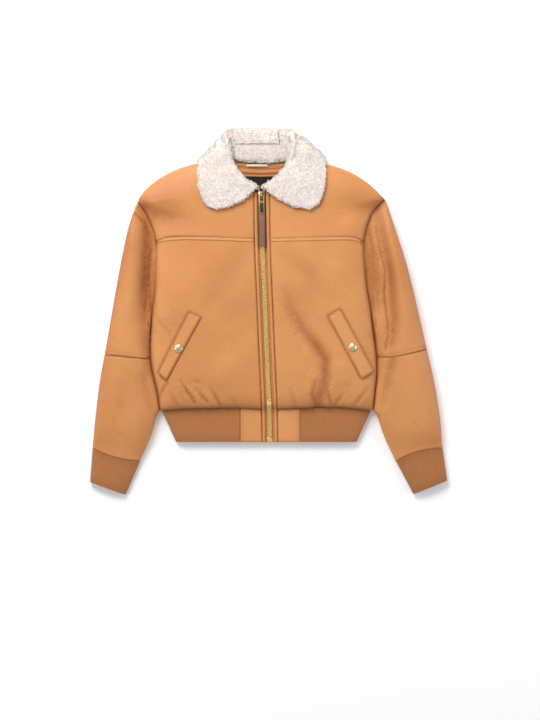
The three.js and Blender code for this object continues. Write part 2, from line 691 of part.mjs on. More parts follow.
// A knitted wall from a plain grid: ribs stand out of every second column of its outer face.
function ribbedWall(grid, into, wrap) {
  const outer = grid.map((row, r) =>
    row.map((p, c) => p.clone().addScaledVector(into[r][c], c % 2 ? 0 : ribDepth))
  );
  return wallGeometry(outer, moved(grid, into, knit), wrap);
}

// Sleeves and cuffs. A cuff's ring is divided anew into ribs of one width.
function ribRing(ring, count) {
  const curve = new THREE.CurvePath();
  ring.forEach((p, i) => curve.add(new THREE.LineCurve3(p, ring[(i + 1) % ring.length])));
  return Array.from({ length: count }, (_, i) => curve.getPointAt(i / count));
}
for (const side of ['right', 'left']) {
  const whole = sleeveGrid(side);
  const lengthways = (r, c) => whole.grid[r][c].clone().sub(whole.grid[r - 1][c]).normalize();
  const [upper, rest] = splitRows(whole.grid, whole.into, elbowStop, lengthways);
  const below = (r, c) => lengthways(r + elbowStop, c);
  const [lower, cuff] = splitRows(rest.grid, rest.into, cuffStop - elbowStop, below);
  addPiece(`sleeve_upper_${side}`, wallOf(upper, leather, true), 'leather');
  const middleOf = (ring) => ring[0].clone().add(ring[armholeStops.length - 1]);
  const middles = [cuff.grid[0], cuff.grid.at(-1)].map(middleOf);
  const axis = middles[1].sub(middles[0]).setZ(0).normalize();
  lower.into[lower.into.length - 1] = within(lower.into.at(-1), axis);
  addPiece(`sleeve_lower_${side}`, wallOf(lower, leather, true), 'leather');
  const around = cuff.grid[0].reduce((sum, p, i, ring) => sum + p.distanceTo(ring[(i + 1) % ring.length]), 0);
  const count = 2 * Math.round(around / ribPitch);
  const ringGrid = [cuff.grid[0], cuff.grid.at(-1)].map((ring) => ribRing(ring, count));
  for (const p of ringGrid[0]) p.addScaledVector(axis, 0.5 * seamGap);
  const into = gridNormals(ringGrid, true, side === 'left').map((row) => within(row, axis));
  addPiece(`cuff_${side}`, ribbedWall(ringGrid, into, true), 'knit');
}

// Rib hem: a doubled band round the body, with a leather tab at each end beside the zip
const bandEdge = {
  right: { topX: -209, lowX: -181.5, tab: -56 },
  left: { topX: 200, lowX: 172.5, tab: 61 },
};
const bandLip = 7; // height of the band's folded side at its lower edge
function bandPoint(side, layer, seamRow, s, v, toX) {
  const edge = bandEdge[side];
  const edgeX = lerp(edge.lowX, edge.topX, v);
  const x = lerp(edgeX, toX, s);
  const seam = acrossRow(seamRow, lerp(edge.topX, toX, s));
  const away = Math.abs(x - edgeX);
  const lip = lerp(bandLip, sideEdge[side][0].z, v);
  const apart = 0.5 * seamGap * (layer === 'front' ? 1 : -1) * (1 - smooth(away / 4));
  const level = swell(away / lerp(22, 40, v));
  const front = lip + (lerp(bandTop, hemSeamLift, v) - lip) * level;
  const under = lip * (1 - swell(away / edgeRound));
  return vec(x, lerp(hemY, seam.y - seamGap, v), (layer === 'front' ? front : under) + apart);
}
for (const side of ['right', 'left']) {
  const { topX, tab } = bandEdge[side];
  const count = 2 * Math.round(Math.abs(tab - topX) / ribPitch) + 1;
  const shares = Array.from({ length: count }, (_, i) => i / (count - 1));
  const seam = fronts[side].grid[0];
  const grid = [1, 0].map((v) => shares.map((s) => bandPoint(side, 'front', seam, s, v, tab)));
  const into = gridNormals(grid)
    .map((row) => row.map((n, c) => (c ? n.multiplyScalar(-Math.sign(n.z)) : vec(Math.sign(tab - topX), 0))))
    .map((row) => within(row, vec(0, 1)));
  addPiece(`rib_front_${side}`, ribbedWall(grid, into), 'knit');

  const away = Math.sign(tab);
  const inner = (y) => zipX(y) + away * (zipHalf + placketWide + 0.2);
  const seamAt = (x) => acrossRow(fronts[side].grid[0], x);
  const ends = [tab - away * seamGap, inner(-225)];
  const top = [0, 0.5, 1].map((f) => {
    const x = lerp(ends[0], f === 1 ? inner(-191) : ends[1], f);
    const seam = seamAt(x);
    return vec(x, seam.y - seamGap, hemSeamLift);
  });
  const low = [0, 0.5, 1].map((f) => vec(lerp(ends[0], f === 1 ? inner(hemY) : ends[1], f), hemY, bandTop));
  const down = () => vec(0, 0, -1);
  const tabGrid = { grid: [top, low], into: [top.map(down), low.map(down)] };
  addPiece(`waist_tab_${side}`, wallOf(tabGrid, knit), 'leather');
}
{
  const width = bandEdge.left.topX - bandEdge.right.topX;
  const count = 2 * Math.round(width / ribPitch) + 1;
  const middle = (bandEdge.left.topX + bandEdge.right.topX) / 2;
  const grid = [1, 0].map((v) =>
    Array.from({ length: count }, (_, i) => {
      const s = (2 * i) / (count - 1);
      return s <= 1
        ? bandPoint('right', 'back', back.grid[0], s, v, middle)
        : bandPoint('left', 'back', back.grid[0], 2 - s, v, middle);
    })
  );
  const into = gridNormals(grid)
    .map((row) =>
      row.map((n, c) => {
        if (c === 0) return vec(1, 0);
        return c === count - 1 ? vec(-1, 0) : n.multiplyScalar(Math.sign(n.z));
      })
    )
    .map((row) => within(row, vec(0, 1)));
  addPiece('rib_back', ribbedWall(grid, into), 'knit');
}

// Zip: height of the cloth beside it, then a strip of leather, a tape and a row of teeth each side
const boxTop = -246; // upper edge of the box at the zip's lower end
const hemStops = [hemY, boxTop, -222, -196, -190, -184, -177, -168];
const zipStops = [...hemStops, -150, -100, -40, 20, 80, 140, 190, 215, neckY];
const zipHeight = (y) => (y < -191 ? bandTop : bodyHeight(zipX(y) + zipHalf, y));
function zipStrip(side, from, to, up, thickness, lastY = neckY, firstY = hemY) {
  const away = side === 'right' ? -1 : 1;
  const stops = zipStops.filter((y) => y >= firstY && y < lastY - 5).concat(lastY);
  const place = (u, y, lift) => vec(zipX(y) + away * u, y, zipHeight(y) + lift);
  const layer = (lift) => stops.map((y) => [from, to].map((u) => place(u, y, lift)));
  return wallGeometry(layer(up), layer(up - thickness));
}
for (const side of ['right', 'left']) {
  addPiece(`placket_${side}`, zipStrip(side, zipHalf, zipHalf + placketWide - 0.3, 0, leather), 'leather');
  const sunk = -leather - seamGap;
  const tape = zipStrip(side, chainHalf + 0.3, zipHalf + placketWide - 0.5, sunk, tapeThick, 231);
  addPiece(`zip_tape_${side}`, tape, 'tape');
  const chainUp = sunk + (chainThick - tapeThick) / 2;
  addPiece(`zip_teeth_${side}`, zipStrip(side, 0.15, chainHalf, chainUp, chainThick, 236, boxTop), 'brass');
}

{
  const [x, tall] = [(zipX(hemY) + zipX(boxTop)) / 2, chainThick + 0.8];
  const box = new THREE.BoxGeometry(2 * chainHalf, boxTop - hemY - seamGap, tall);
  box.translate(x, (hemY + boxTop - seamGap) / 2, bandTop - leather - seamGap - tapeThick / 2);
  addPiece('zip_box', box, 'brass');
}

// Collar: one thick band folded over along its roll, mirrored about its own middle. Rows run from
// the middle of the back round to the front end. For each, out is the distance from the collar's
// middle and y, z its place, for the neck seam, the roll, two points down the fall, and its edge.
// lean is the way the roll points (0 away from the neck, 90 up, 180 into the neck), and aim the
// way out from the neck in plan.
const collarRows = [
  {
    so: 0, sy: 289.5, sz: 13.6, ro: 0, ry: 354.8, rz: 9.3, mo: 0, my: 335, mz: 4.1,
    fo: 0, fy: 308, fz: 4.1, eo: 0, ey: 279, ez: 4.1, lean: 0, aim: 90,
  },
  {
    so: 30, sy: 290.5, sz: 13.6, ro: 30, ry: 354.8, rz: 9.3, mo: 32, my: 335, mz: 4.1,
    fo: 35, fy: 308, fz: 4.1, eo: 38, ey: 280, ez: 4.1, lean: 0, aim: 90,
  },
  {
    so: 53, sy: 294.5, sz: 15, ro: 58, ry: 353.5, rz: 11, mo: 67, my: 340, mz: 4.8,
    fo: 76, fy: 314, fz: 4.1, eo: 84, ey: 283.5, ez: 4.1, lean: 12, aim: 68,
  },
  {
    so: 61, sy: 298, sz: 19, ro: 68, ry: 348, rz: 18.5, mo: 82, my: 343, mz: 11.5,
    fo: 97.5, fy: 323, fz: 8, eo: 108, ey: 295, ez: 4.6, lean: 42, aim: 42,
  },
  {
    so: 62.5, sy: 295.5, sz: 23, ro: 67, ry: 332, rz: 27, mo: 89, my: 327, mz: 21,
    fo: 109, fy: 315.5, fz: 16, eo: 121.5, ey: 302, ez: 13, lean: 70, aim: 14,
  },
  {
    so: 62, sy: 291.5, sz: 25, ro: 64.5, ry: 319, rz: 31.5, mo: 87, my: 314, mz: 26.5,
    fo: 109.5, fy: 304.5, fz: 22, eo: 125, ey: 292, ez: 21.5, lean: 90, aim: 5,
  },
  {
    so: 61, sy: 287.5, sz: 27, ro: 61.5, ry: 305, rz: 34, mo: 84, my: 299, mz: 30,
    fo: 107, fy: 292, fz: 27, eo: 125, ey: 281, ez: 27, lean: 110, aim: -4,
  },
  {
    so: 61.5, sy: 277, sz: 28, ro: 55.5, ry: 285, rz: 35, mo: 78, my: 277, mz: 30,
    fo: 102, fy: 270, fz: 25, eo: 125, ey: 262, ez: 25, lean: 150, aim: -15,
  },
  {
    so: 53.5, sy: 259.5, sz: 28, ro: 45.5, ry: 269, rz: 33.5, mo: 70, my: 260, mz: 30,
    fo: 98, fy: 250, fz: 25, eo: 123.5, ey: 240, ez: 25, lean: 168, aim: -32,
  },
  {
    so: 40.5, sy: 246, sz: 28, ro: 34.5, ry: 258, rz: 33.5, mo: 60, my: 248, mz: 30,
    fo: 90, fy: 234, fz: 25, eo: 117.5, ey: 219, ez: 25, lean: 172, aim: -42,
  },
  {
    so: 26.5, sy: 239, sz: 28, ro: 22, ry: 250, rz: 33.5, mo: 47, my: 236, mz: 30,
    fo: 78, fy: 219, fz: 25, eo: 108, ey: 203.5, ez: 25, lean: 172, aim: -48,
  },
  {
    so: 17.5, sy: 236.5, sz: 28, ro: 9.5, ry: 242, rz: 33.5, mo: 32, my: 216.5, mz: 30,
    fo: 62, fy: 202, fz: 25, eo: 92, ey: 196.8, ez: 25, lean: 172, aim: -58,
  },
];
const collarStops = [0, 1, 1.6, 2.1, 2.6, 3, 3.5, 4, 4.5, 5, 5.5, 6, 6.5, 7, 8, 9, 10, 11];
const sectionStops = [0, 0.12, 0.2, 0.27, 0.34, 0.4, 0.46, 0.53, 0.6, 0.7, 0.8, 0.9, 1];
const rollRadius = 5.2;
const tuckIn = 4.5; // how much closer the wearer's right half lies where it goes over the shoulder
const rollShift = 8; // how much nearer the middle the wearer's left half is rolled
const collarX = (y) => -13.5 - 6 * smooth((y - 300) / 58);
const lifted = 0.8; // air between the collar and what it lies on

function collarSection(at, away) {
  const row = rowAt(collarRows, at);
  const place = (out, y, z) => vec(collarX(y) + away * out, y, z);
  const tuck = away < 0 ? tuckIn * Math.exp(-(((at - 3.7) / 1.5) ** 2)) : 0;
  const aim = THREE.MathUtils.degToRad(row.aim);
  const lean = THREE.MathUtils.degToRad(row.lean);
  const out = vec(away * Math.cos(aim), Math.sin(aim));
  const tip = out.clone().multiplyScalar(Math.cos(lean)).setZ(Math.sin(lean));
  const over = out.clone().multiplyScalar(-Math.sin(lean)).setZ(Math.cos(lean));
  const seam = place(row.so, row.sy, row.sz);
  const roll = place(row.ro - (away > 0 ? rollShift * smooth((at - 3.5) / 5) : 0), row.ry, row.rz);
  const before = roll.clone().addScaledVector(tip, -rollRadius).addScaledVector(over, rollRadius);
  const after = roll.clone().addScaledVector(tip, -rollRadius).addScaledVector(over, -rollRadius);
  const panel = fronts[away < 0 ? 'right' : 'left'].grid;
  const rest = (p) => {
    const z = at > 5.2 ? gridHeight(panel, p.x, p.y) : null;
    return z === null ? p : p.setZ(Math.max(at > 6.2 ? 0 : p.z, z + lifted + pile / 2));
  };
  const fall = [
    place(row.mo - tuck, row.my - tuck / 2, row.mz),
    place(row.fo - tuck, row.fy - tuck / 2, row.fz),
    place(row.eo, row.ey, row.ez),
  ].map(rest);
  if (at > 6.2) {
    const lift = fall[0].z - after.z;
    for (const p of [roll, before, after]) p.z += lift;
    seam.z = before.z;
  }
  const curve = new THREE.CatmullRomCurve3([seam, before, roll, after, ...fall], false, 'centripetal');
  return sectionStops.map((f) => curve.getPoint(f)).map((p, i) => (i > 7 ? rest(p) : p));
}
const collarGrid = [
  ...[...collarStops].reverse().map((at) => collarSection(at, -1)),
  ...collarStops.slice(1).map((at) => collarSection(at, 1)),
];
const collarOut = gridNormals(collarGrid, false, false);
const collarSides = [1, -1].map((face) => moved(collarGrid, collarOut, (face * pile) / 2));
for (const p of collarSides.flat(2)) p.z = Math.max(p.z, 0);
addPiece('collar', wallGeometry(...collarSides), 'pile');

// Pile patch stitched on the inside of the collar behind the neck
const patch = { half: 43.5, low: 327, thick: 2.4 };
{
  const upper = collarSides.map((grid) => grid.slice(8, -8));
  const top = (x, y) => Math.max(...upper.map((grid) => gridHeight(grid, x, y) ?? 0));
  const layer = (up) =>
    [patch.low, 337, 346, 351, 354.5, 356.5].map((y) =>
      [-1, -0.35, 0.35, 1].map((f) => {
        const x = collarX(y) - 6.6 + f * patch.half;
        return vec(x, y, top(x, y) + up);
      })
    );
  addPiece('collar_patch', wallGeometry(layer(0.8 + patch.thick), layer(0.8)), 'pile');
}

// Inside of the back below the neck: facing, blank label and hanger loop
const backInside = moved(back.grid, back.into, leather);
function insidePatch(name, half, low, high, thick, finish, air) {
  const rows = Math.max(2, Math.round((high - low) / 11) + 1);
  const layer = (up) =>
    Array.from({ length: rows }, (_, r) =>
      [-1, -0.6, -0.2, 0.2, 0.6, 1].map((f) => {
        const [x, y] = [-13.5 + f * half, lerp(low, high, r / (rows - 1))];
        return vec(x, y, gridHeight(backInside, x, y) + air + up);
      })
    );
  return addPiece(name, wallGeometry(layer(thick), layer(0)), finish);
}
insidePatch('neck_facing', 62, 262, 283.5, 1.8, 'leather', 1.3);
insidePatch('neck_label', 52, 206, 261.5, 1.2, 'label', 0.5);
{
  const shares = [-1, -0.8, -0.5, 0, 0.5, 0.8, 1];
  const loop = (up) =>
    [282.5, 286.5].map((y) => shares.map((f) => vec(-23 + 20.5 * f, y, 15.2 + 2.4 * (1 - f * f) + up)));
  addPiece('hanger_loop', wallGeometry(loop(1.4), loop(0)), 'pile');
}

// Pocket welts with a press stud each, on the fronts. Corners run from the upper end to the lower.
const welts = {
  right: { a: [-155, -1], b: [-131.5, -11.3], c: [-199.5, -135], d: [-216, -119.5], stud: [-175.3, -73] },
  left: { a: [114.7, -9], b: [139, 4.8], c: [204.8, -117], d: [180.5, -131.6], stud: [163.3, -70.7] },
};
const weltThick = 1.8;
for (const side of ['right', 'left']) {
  const { a, b, c, d, stud } = welts[side];
  const panel = fronts[side].grid;
  const rows = 9;
  const layer = (up) =>
    Array.from({ length: rows }, (_, r) => {
      const v = r / (rows - 1);
      const near = [lerp(a[0], d[0], v), lerp(a[1], d[1], v)];
      const far = [lerp(b[0], c[0], v), lerp(b[1], c[1], v)];
      return [0, 0.33, 0.67, 1].map((u) => {
        const [x, y] = [lerp(near[0], far[0], u), lerp(near[1], far[1], u)];
        const spots = [[0, 0], [5, 0], [-5, 0], [0, 5], [0, -5]];
        const around = spots.map(([dx, dy]) => gridHeight(panel, x + dx, y + dy) ?? 0);
        return vec(x, y, Math.max(...around) + 0.5 + up);
      });
    });
  addPiece(`pocket_welt_${side}`, wallGeometry(layer(weltThick), layer(0)), 'leather');

  const [x, y] = stud;
  const rise = (dx, dy) => gridHeight(panel, x + dx, y + dy) - gridHeight(panel, x - dx, y - dy);
  const slope = (dx, dy) => rise(dx, dy) / (2 * Math.hypot(dx, dy));
  const normal = vec(-slope(6, 0), -slope(0, 6), 1).normalize();
  const dome = [[0, 0], [7.6, 0], [8, 0.5], [8, 1.1], [6.6, 2], [3.6, 2.7], [0, 2.9]];
  const lathe = new THREE.LatheGeometry(dome.map(([r, z]) => new THREE.Vector2(r, z)), 24);
  lathe.rotateX(Math.PI / 2);
  lathe.applyQuaternion(new THREE.Quaternion().setFromUnitVectors(vec(0, 0, 1), normal));
  const foot = vec(x, y, gridHeight(panel, x, y) + 0.5 + weltThick).addScaledVector(normal, 0.5);
  lathe.translate(foot.x, foot.y, foot.z);
  addPiece(`stud_${side}`, lathe, 'brass');
}

// Zip slider and pull. Both are made upright on their own axes with +Y up the zip, then laid on it.
const pullY = 224; // where the pull hangs on the slider
const onZip = (y) => vec(zipX(y), y, zipHeight(y));
const upZip = onZip(pullY + 8).sub(onZip(125)).normalize();
const acrossZip = vec(1, 0).addScaledVector(upZip, -upZip.x).normalize();
const zipFrame = new THREE.Matrix4().makeBasis(acrossZip, upZip, acrossZip.clone().cross(upZip));
const chainTop = chainThick / 2 - leather - seamGap - tapeThick / 2;
zipFrame.setPosition(onZip(pullY).add(vec(0, 0, chainTop + 0.3)));

// A closed geometry as a solid that can be cut and joined, and back again.
function toSolid(geometry) {
  geometry.deleteAttribute('normal');
  geometry.deleteAttribute('uv');
  const merged = mergeVertices(geometry, 1e-4);
  const vertProperties = Float32Array.from(merged.attributes.position.array);
  const triVerts = Uint32Array.from(merged.index.array);
  return new wasm.Manifold(new wasm.Mesh({ numProp: 3, vertProperties, triVerts }));
}
function toGeometry(solid) {
  const mesh = solid.getMesh();
  const geometry = new THREE.BufferGeometry();
  geometry.setAttribute('position', new THREE.Float32BufferAttribute(mesh.vertProperties, 3));
  geometry.setIndex([...mesh.triVerts]);
  return geometry.applyMatrix4(zipFrame);
}
const plate = 2; // slider plate
const barHeight = plate + 1.5; // middle of the pull's bar above the chain
const block = (x, y, z, cx, cy, cz) => toSolid(new THREE.BoxGeometry(x, y, z).translate(cx, cy, cz));
const drum = (radius, long) =>
  toSolid(new THREE.CylinderGeometry(radius, radius, long, 20).rotateZ(Math.PI / 2));
const sliderOutline = [[-5, -8], [5, -8], [6.6, 0], [7.2, 6], [5.5, 8.6], [-5.5, 8.6], [-7.2, 6], [-6.6, 0]];
const sliderShape = new THREE.Shape(sliderOutline.map(([x, y]) => new THREE.Vector2(x, y)));
const sliderPlate = toSolid(new THREE.ExtrudeGeometry(sliderShape, { depth: plate, bevelEnabled: false }));
const arch = drum(6.6, 3.2)
  .subtract(drum(4.6, 4))
  .intersect(block(4, 14, 7, 0, 0, 3.5))
  .translate([0, 0, plate - 0.2]);
addPiece('zip_slider', toGeometry(sliderPlate.add(arch)), 'brass');

const pull = new THREE.Group();
pull.name = 'pull';
jacket.add(pull);
const pullThick = 1.8;
const pullPlate = block(11, 36, pullThick, 0, -17, 0)
  .subtract(block(5.6, 10.5, 4, 0, -6.4, 0))
  .add(block(6, 9, 1, 0, -39, 0))
  .translate([0, 0, barHeight]);
const strap = block(12.2, 61, 3.2, 0, -66.5, 0)
  .subtract(block(6.8, 9, 1.8, 0, -39.5, 0))
  .translate([0, 0, barHeight]);
for (const [name, solid, finish] of [['zip_pull', pullPlate, 'brass'], ['pull_strap', strap, 'strap']]) {
  const mesh = new THREE.Mesh(toGeometry(solid), new THREE.MeshStandardMaterial(finishes[finish]));
  mesh.name = name;
  pull.add(mesh);
}

// The origin is under the middle of the jacket, on the surface it lies on.
const bounds = new THREE.Box3().setFromObject(jacket);
jacket.position.set(-(bounds.min.x + bounds.max.x) / 2, -(bounds.min.y + bounds.max.y) / 2, -bounds.min.z);
jacket.updateMatrixWorld(true);
const bar = vec(0, 0, barHeight).applyMatrix4(zipFrame).add(jacket.position);
pull.userData = { hingeAt: bar.toArray(), hingeAxis: acrossZip.clone().negate().toArray() };

export default jacket;
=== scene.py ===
import math
import bmesh
import bpy
import numpy as np
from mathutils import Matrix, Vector, noise
from mathutils.bvhtree import BVHTree
from mathutils.kdtree import KDTree


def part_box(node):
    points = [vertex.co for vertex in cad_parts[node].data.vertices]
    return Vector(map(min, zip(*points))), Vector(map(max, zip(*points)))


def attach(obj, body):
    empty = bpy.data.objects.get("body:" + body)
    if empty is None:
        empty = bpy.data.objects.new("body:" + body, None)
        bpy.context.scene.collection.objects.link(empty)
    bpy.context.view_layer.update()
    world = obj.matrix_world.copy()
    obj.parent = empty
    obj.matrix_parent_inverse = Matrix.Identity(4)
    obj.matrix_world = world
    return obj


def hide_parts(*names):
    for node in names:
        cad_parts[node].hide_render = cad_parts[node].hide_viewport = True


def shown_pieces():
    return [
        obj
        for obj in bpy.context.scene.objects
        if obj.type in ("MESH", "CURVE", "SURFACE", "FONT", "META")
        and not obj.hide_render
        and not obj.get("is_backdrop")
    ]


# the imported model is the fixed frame, in metres; the tables below are in millimetres
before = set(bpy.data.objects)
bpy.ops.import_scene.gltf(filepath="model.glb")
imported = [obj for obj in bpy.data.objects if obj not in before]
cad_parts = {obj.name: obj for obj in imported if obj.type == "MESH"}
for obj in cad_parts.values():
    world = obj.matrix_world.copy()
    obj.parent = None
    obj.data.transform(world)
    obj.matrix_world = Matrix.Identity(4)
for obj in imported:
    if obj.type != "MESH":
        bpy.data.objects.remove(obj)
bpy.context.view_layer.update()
scene = bpy.context.scene
mm = 0.001
print("frame loaded:", len(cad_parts), "nodes")


# camera: straight above, as the photograph was taken
view = {"lens": 135, "sensor": 36, "clip": 40, "down": 1404, "centre": (2.7, -95), "trueAt": 18}
lens = bpy.data.cameras.new("above")
lens.lens = view["lens"]
lens.clip_end = view["clip"]
above = bpy.data.objects.new("above", lens)
above.location = (
    view["centre"][0] * mm,
    view["centre"][1] * mm,
    (view["down"] * view["lens"] / view["sensor"] + view["trueAt"]) * mm,
)
scene.collection.objects.link(above)
scene.camera = above

# light: a wide soft box overhead and two weak ones at the sides, in metres and watts
lamps = [
    {"name": "softTop", "at": (-0.9, 1.9, 1.9), "size": 1.5, "power": 72},
    {"name": "softRight", "at": (2.5, 0.1, 1.1), "size": 1.4, "power": 21},
    {"name": "softLeft", "at": (-2.5, -0.2, 1.1), "size": 1.4, "power": 15},
]
for lamp in lamps:
    light = bpy.data.lights.new(lamp["name"], "AREA")
    light.size = lamp["size"]
    light.energy = lamp["power"]
    holder = bpy.data.objects.new(lamp["name"], light)
    holder.location = lamp["at"]
    aim = Vector((0, 0, 0)) - Vector(lamp["at"])
    holder.rotation_euler = aim.to_track_quat("-Z", "Y").to_euler()
    scene.collection.objects.link(holder)
studio = {"colour": (1, 1, 1, 1), "strength": 0.42}
world = bpy.data.worlds.new("studio")
world.use_nodes = True
world.node_tree.nodes["Background"].inputs[0].default_value = studio["colour"]
world.node_tree.nodes["Background"].inputs[1].default_value = studio["strength"]
scene.world = world
scene.view_settings.view_transform = "Standard"
print("camera and lights set")


# small helpers for node trees
def addNode(tree, kind, inputs=None, **settings):
    made = tree.nodes.new(kind)
    for key, value in settings.items():
        setattr(made, key, value)
    for key, value in (inputs or {}).items():
        socket = made.inputs[key]
        if isinstance(value, bpy.types.NodeSocket):
            tree.links.new(value, socket)
        else:
            socket.default_value = value
    return made


def freshMaterial(name, colour, roughness, **fixed):
    # constants go on the shader's own sockets, whose names have spaces
    material = bpy.data.materials.new(name)
    material.use_nodes = True
    tree = material.node_tree
    tree.nodes.clear()
    shader = addNode(tree, "ShaderNodeBsdfPrincipled", {"Base Color": (*colour, 1), "Roughness": roughness})
    for key, value in fixed.items():
        shader.inputs[key.replace("_", " ")].default_value = value
    out = addNode(tree, "ShaderNodeOutputMaterial")
    tree.links.new(shader.outputs[0], out.inputs[0])
    material.diffuse_color = (*colour, 1)
    return material, tree, shader


def feed(tree, shader, **sockets):
    for name, socket in sockets.items():
        tree.links.new(socket, shader.inputs[name.replace("_", " ")])


def placeIn(tree):
    return addNode(tree, "ShaderNodeTexCoord").outputs["Object"]


def placeTurned(tree, place, degrees):
    turn = (0, 0, math.radians(degrees))
    return addNode(tree, "ShaderNodeMapping", {"Vector": place, "Rotation": turn}).outputs[0]


def fromPhoto(red, green, blue):
    # a colour of the photograph as linear light
    return tuple(((c / 255 + 0.055) / 1.055) ** 2.4 for c in (red, green, blue))


def mixed(tree, kind, factor, first, second):
    first, second = ((*c, 1) if isinstance(c, tuple) else c for c in (first, second))
    inputs = {0: factor, 6: first, 7: second}
    return addNode(tree, "ShaderNodeMix", inputs, data_type="RGBA", blend_type=kind).outputs[2]


def ranged(tree, value, low, high, toLow, toHigh):
    inputs = {"Value": value, "From Min": low, "From Max": high, "To Min": toLow, "To Max": toHigh}
    return addNode(tree, "ShaderNodeMapRange", inputs, interpolation_type="SMOOTHSTEP").outputs[0]


def calculated(tree, operation, first, second=None, **settings):
    inputs = {0: first} if second is None else {0: first, 1: second}
    return addNode(tree, "ShaderNodeMath", inputs, operation=operation, **settings).outputs[0]


def multiplied(tree, first, second):
    return calculated(tree, "MULTIPLY", first, second)


def noisy(tree, place, scale, detail, **more):
    return addNode(tree, "ShaderNodeTexNoise", {"Vector": place, "Scale": scale, "Detail": detail, **more})


def stored(tree, name):
    return addNode(tree, "ShaderNodeAttribute", attribute_name=name).outputs["Fac"]


def tinted(tree, colour, grey):
    tint = addNode(tree, "ShaderNodeCombineColor", {0: grey, 1: grey, 2: grey})
    return mixed(tree, "MULTIPLY", 1.0, colour, tint.outputs[0])


def bumped(tree, strength, deep, height, **more):
    inputs = {"Strength": strength, "Distance": deep * mm, "Height": height, **more}
    return addNode(tree, "ShaderNodeBump", inputs).outputs[0]


# materials: depths and thread sizes in mm, texture scales per metre
leatherLook = {
    "colour": (204, 137, 80),
    "warm": (210, 144, 86),
    # fold is the painted shade colour, mixed in on folds and creases
    "fold": (152, 78, 28),
    "roughness": 0.43,
    "broadScale": 9,
    "mottleScale": 170,
    "grainMm": 1.25,
    "grainDeep": 0.22,
    "poreScale": 1900,
    "driftScale": 60,
    "drift": 0.022,
    "creaseScale": 190,
    "creaseStretch": (1.0, 0.42, 1.0),
    "creaseDeep": 1.0,
    # how much painted shade the crease lines get
    "creaseShade": 0.15,
}


def makeLeather(name, look):
    base, warm, fold = (fromPhoto(*look[key]) for key in ("colour", "warm", "fold"))
    gloss = look["roughness"]
    material, tree, shader = freshMaterial(name, base, gloss, Sheen_Weight=0.06, Specular_IOR_Level=0.32)
    place = placeIn(tree)
    broad = noisy(tree, place, look["broadScale"], 3).outputs[0]
    mottle = noisy(tree, place, look["mottleScale"], 4).outputs[0]
    colour = mixed(tree, "MIX", ranged(tree, broad, 0.35, 0.65, 0, 1), base, warm)
    colour = tinted(tree, colour, ranged(tree, mottle, 0.3, 0.7, 0.975, 1.02))
    # pebbled grain
    pebbles = {"Vector": place, "Scale": 1000 / look["grainMm"], "Smoothness": 0.6}
    grain = addNode(tree, "ShaderNodeTexVoronoi", pebbles, feature="SMOOTH_F1")
    pores = noisy(tree, place, look["poreScale"], 2)
    worn = calculated(tree, "ADD", grain.outputs["Distance"], pores.outputs[0])
    grained = bumped(tree, 0.8, look["grainDeep"], worn)
    # the fine creases where the leather has been bent
    drift = noisy(tree, place, look["driftScale"], 4)
    pull = {0: drift.outputs["Color"], 1: (look["drift"],) * 3}
    pull = addNode(tree, "ShaderNodeVectorMath", pull, operation="MULTIPLY")
    bent = addNode(tree, "ShaderNodeVectorMath", {0: place, 1: pull.outputs[0]}, operation="ADD")
    drawn = addNode(tree, "ShaderNodeMapping", {"Vector": bent.outputs[0], "Scale": look["creaseStretch"]})
    cells = {"Vector": drawn.outputs[0], "Scale": look["creaseScale"]}
    cells = addNode(tree, "ShaderNodeTexVoronoi", cells, feature="DISTANCE_TO_EDGE").outputs["Distance"]
    crinkle = stored(tree, "crinkle")
    patchy = ranged(tree, drift.outputs[0], 0.35, 0.6, 0.25, 1)
    depth = multiplied(tree, multiplied(tree, ranged(tree, cells, 0, 0.22, 0, 1), patchy), crinkle)
    # painted shade: the folds are darker, a little unevenly, and so are the creases
    shade = multiplied(tree, stored(tree, "shade"), ranged(tree, drift.outputs[0], 0.35, 0.65, 1.02, 1.14))
    lines = multiplied(tree, ranged(tree, cells, 0, 0.12, look["creaseShade"], 0), crinkle)
    dark = calculated(tree, "ADD", shade, lines, use_clamp=True)
    feed(
        tree,
        shader,
        Base_Color=mixed(tree, "MIX", dark, colour, fold),
        Normal=bumped(tree, 0.8, look["creaseDeep"], depth, Normal=grained),
        Roughness=ranged(tree, mottle, 0.3, 0.7, gloss - 0.05, gloss + 0.08),
    )
    return material


edgeLook = {**leatherLook, "colour": (208, 142, 85), "warm": (213, 148, 91)}
facingLook = {**leatherLook, "colour": (196, 132, 76), "warm": (203, 139, 83), "roughness": 0.55}
strapLook = {
    **leatherLook,
    "colour": (126, 88, 66),
    "warm": (136, 98, 76),
    "fold": (66, 42, 30),
    "grainMm": 0.9,
    "roughness": 0.5,
}
leather = makeLeather("tan_leather", leatherLook)
edgeLeather = makeLeather("tan_leather_edge", edgeLook)
facingLeather = makeLeather("facing_leather", facingLook)
strapLeather = makeLeather("strap_leather", strapLook)

# valley is the painted shade colour of the furrows between ribs
knitLook = {"colour": (184, 118, 63), "valley": (120, 66, 30), "ribMm": 4.8, "courseMm": 1.7, "lean": 1.3}


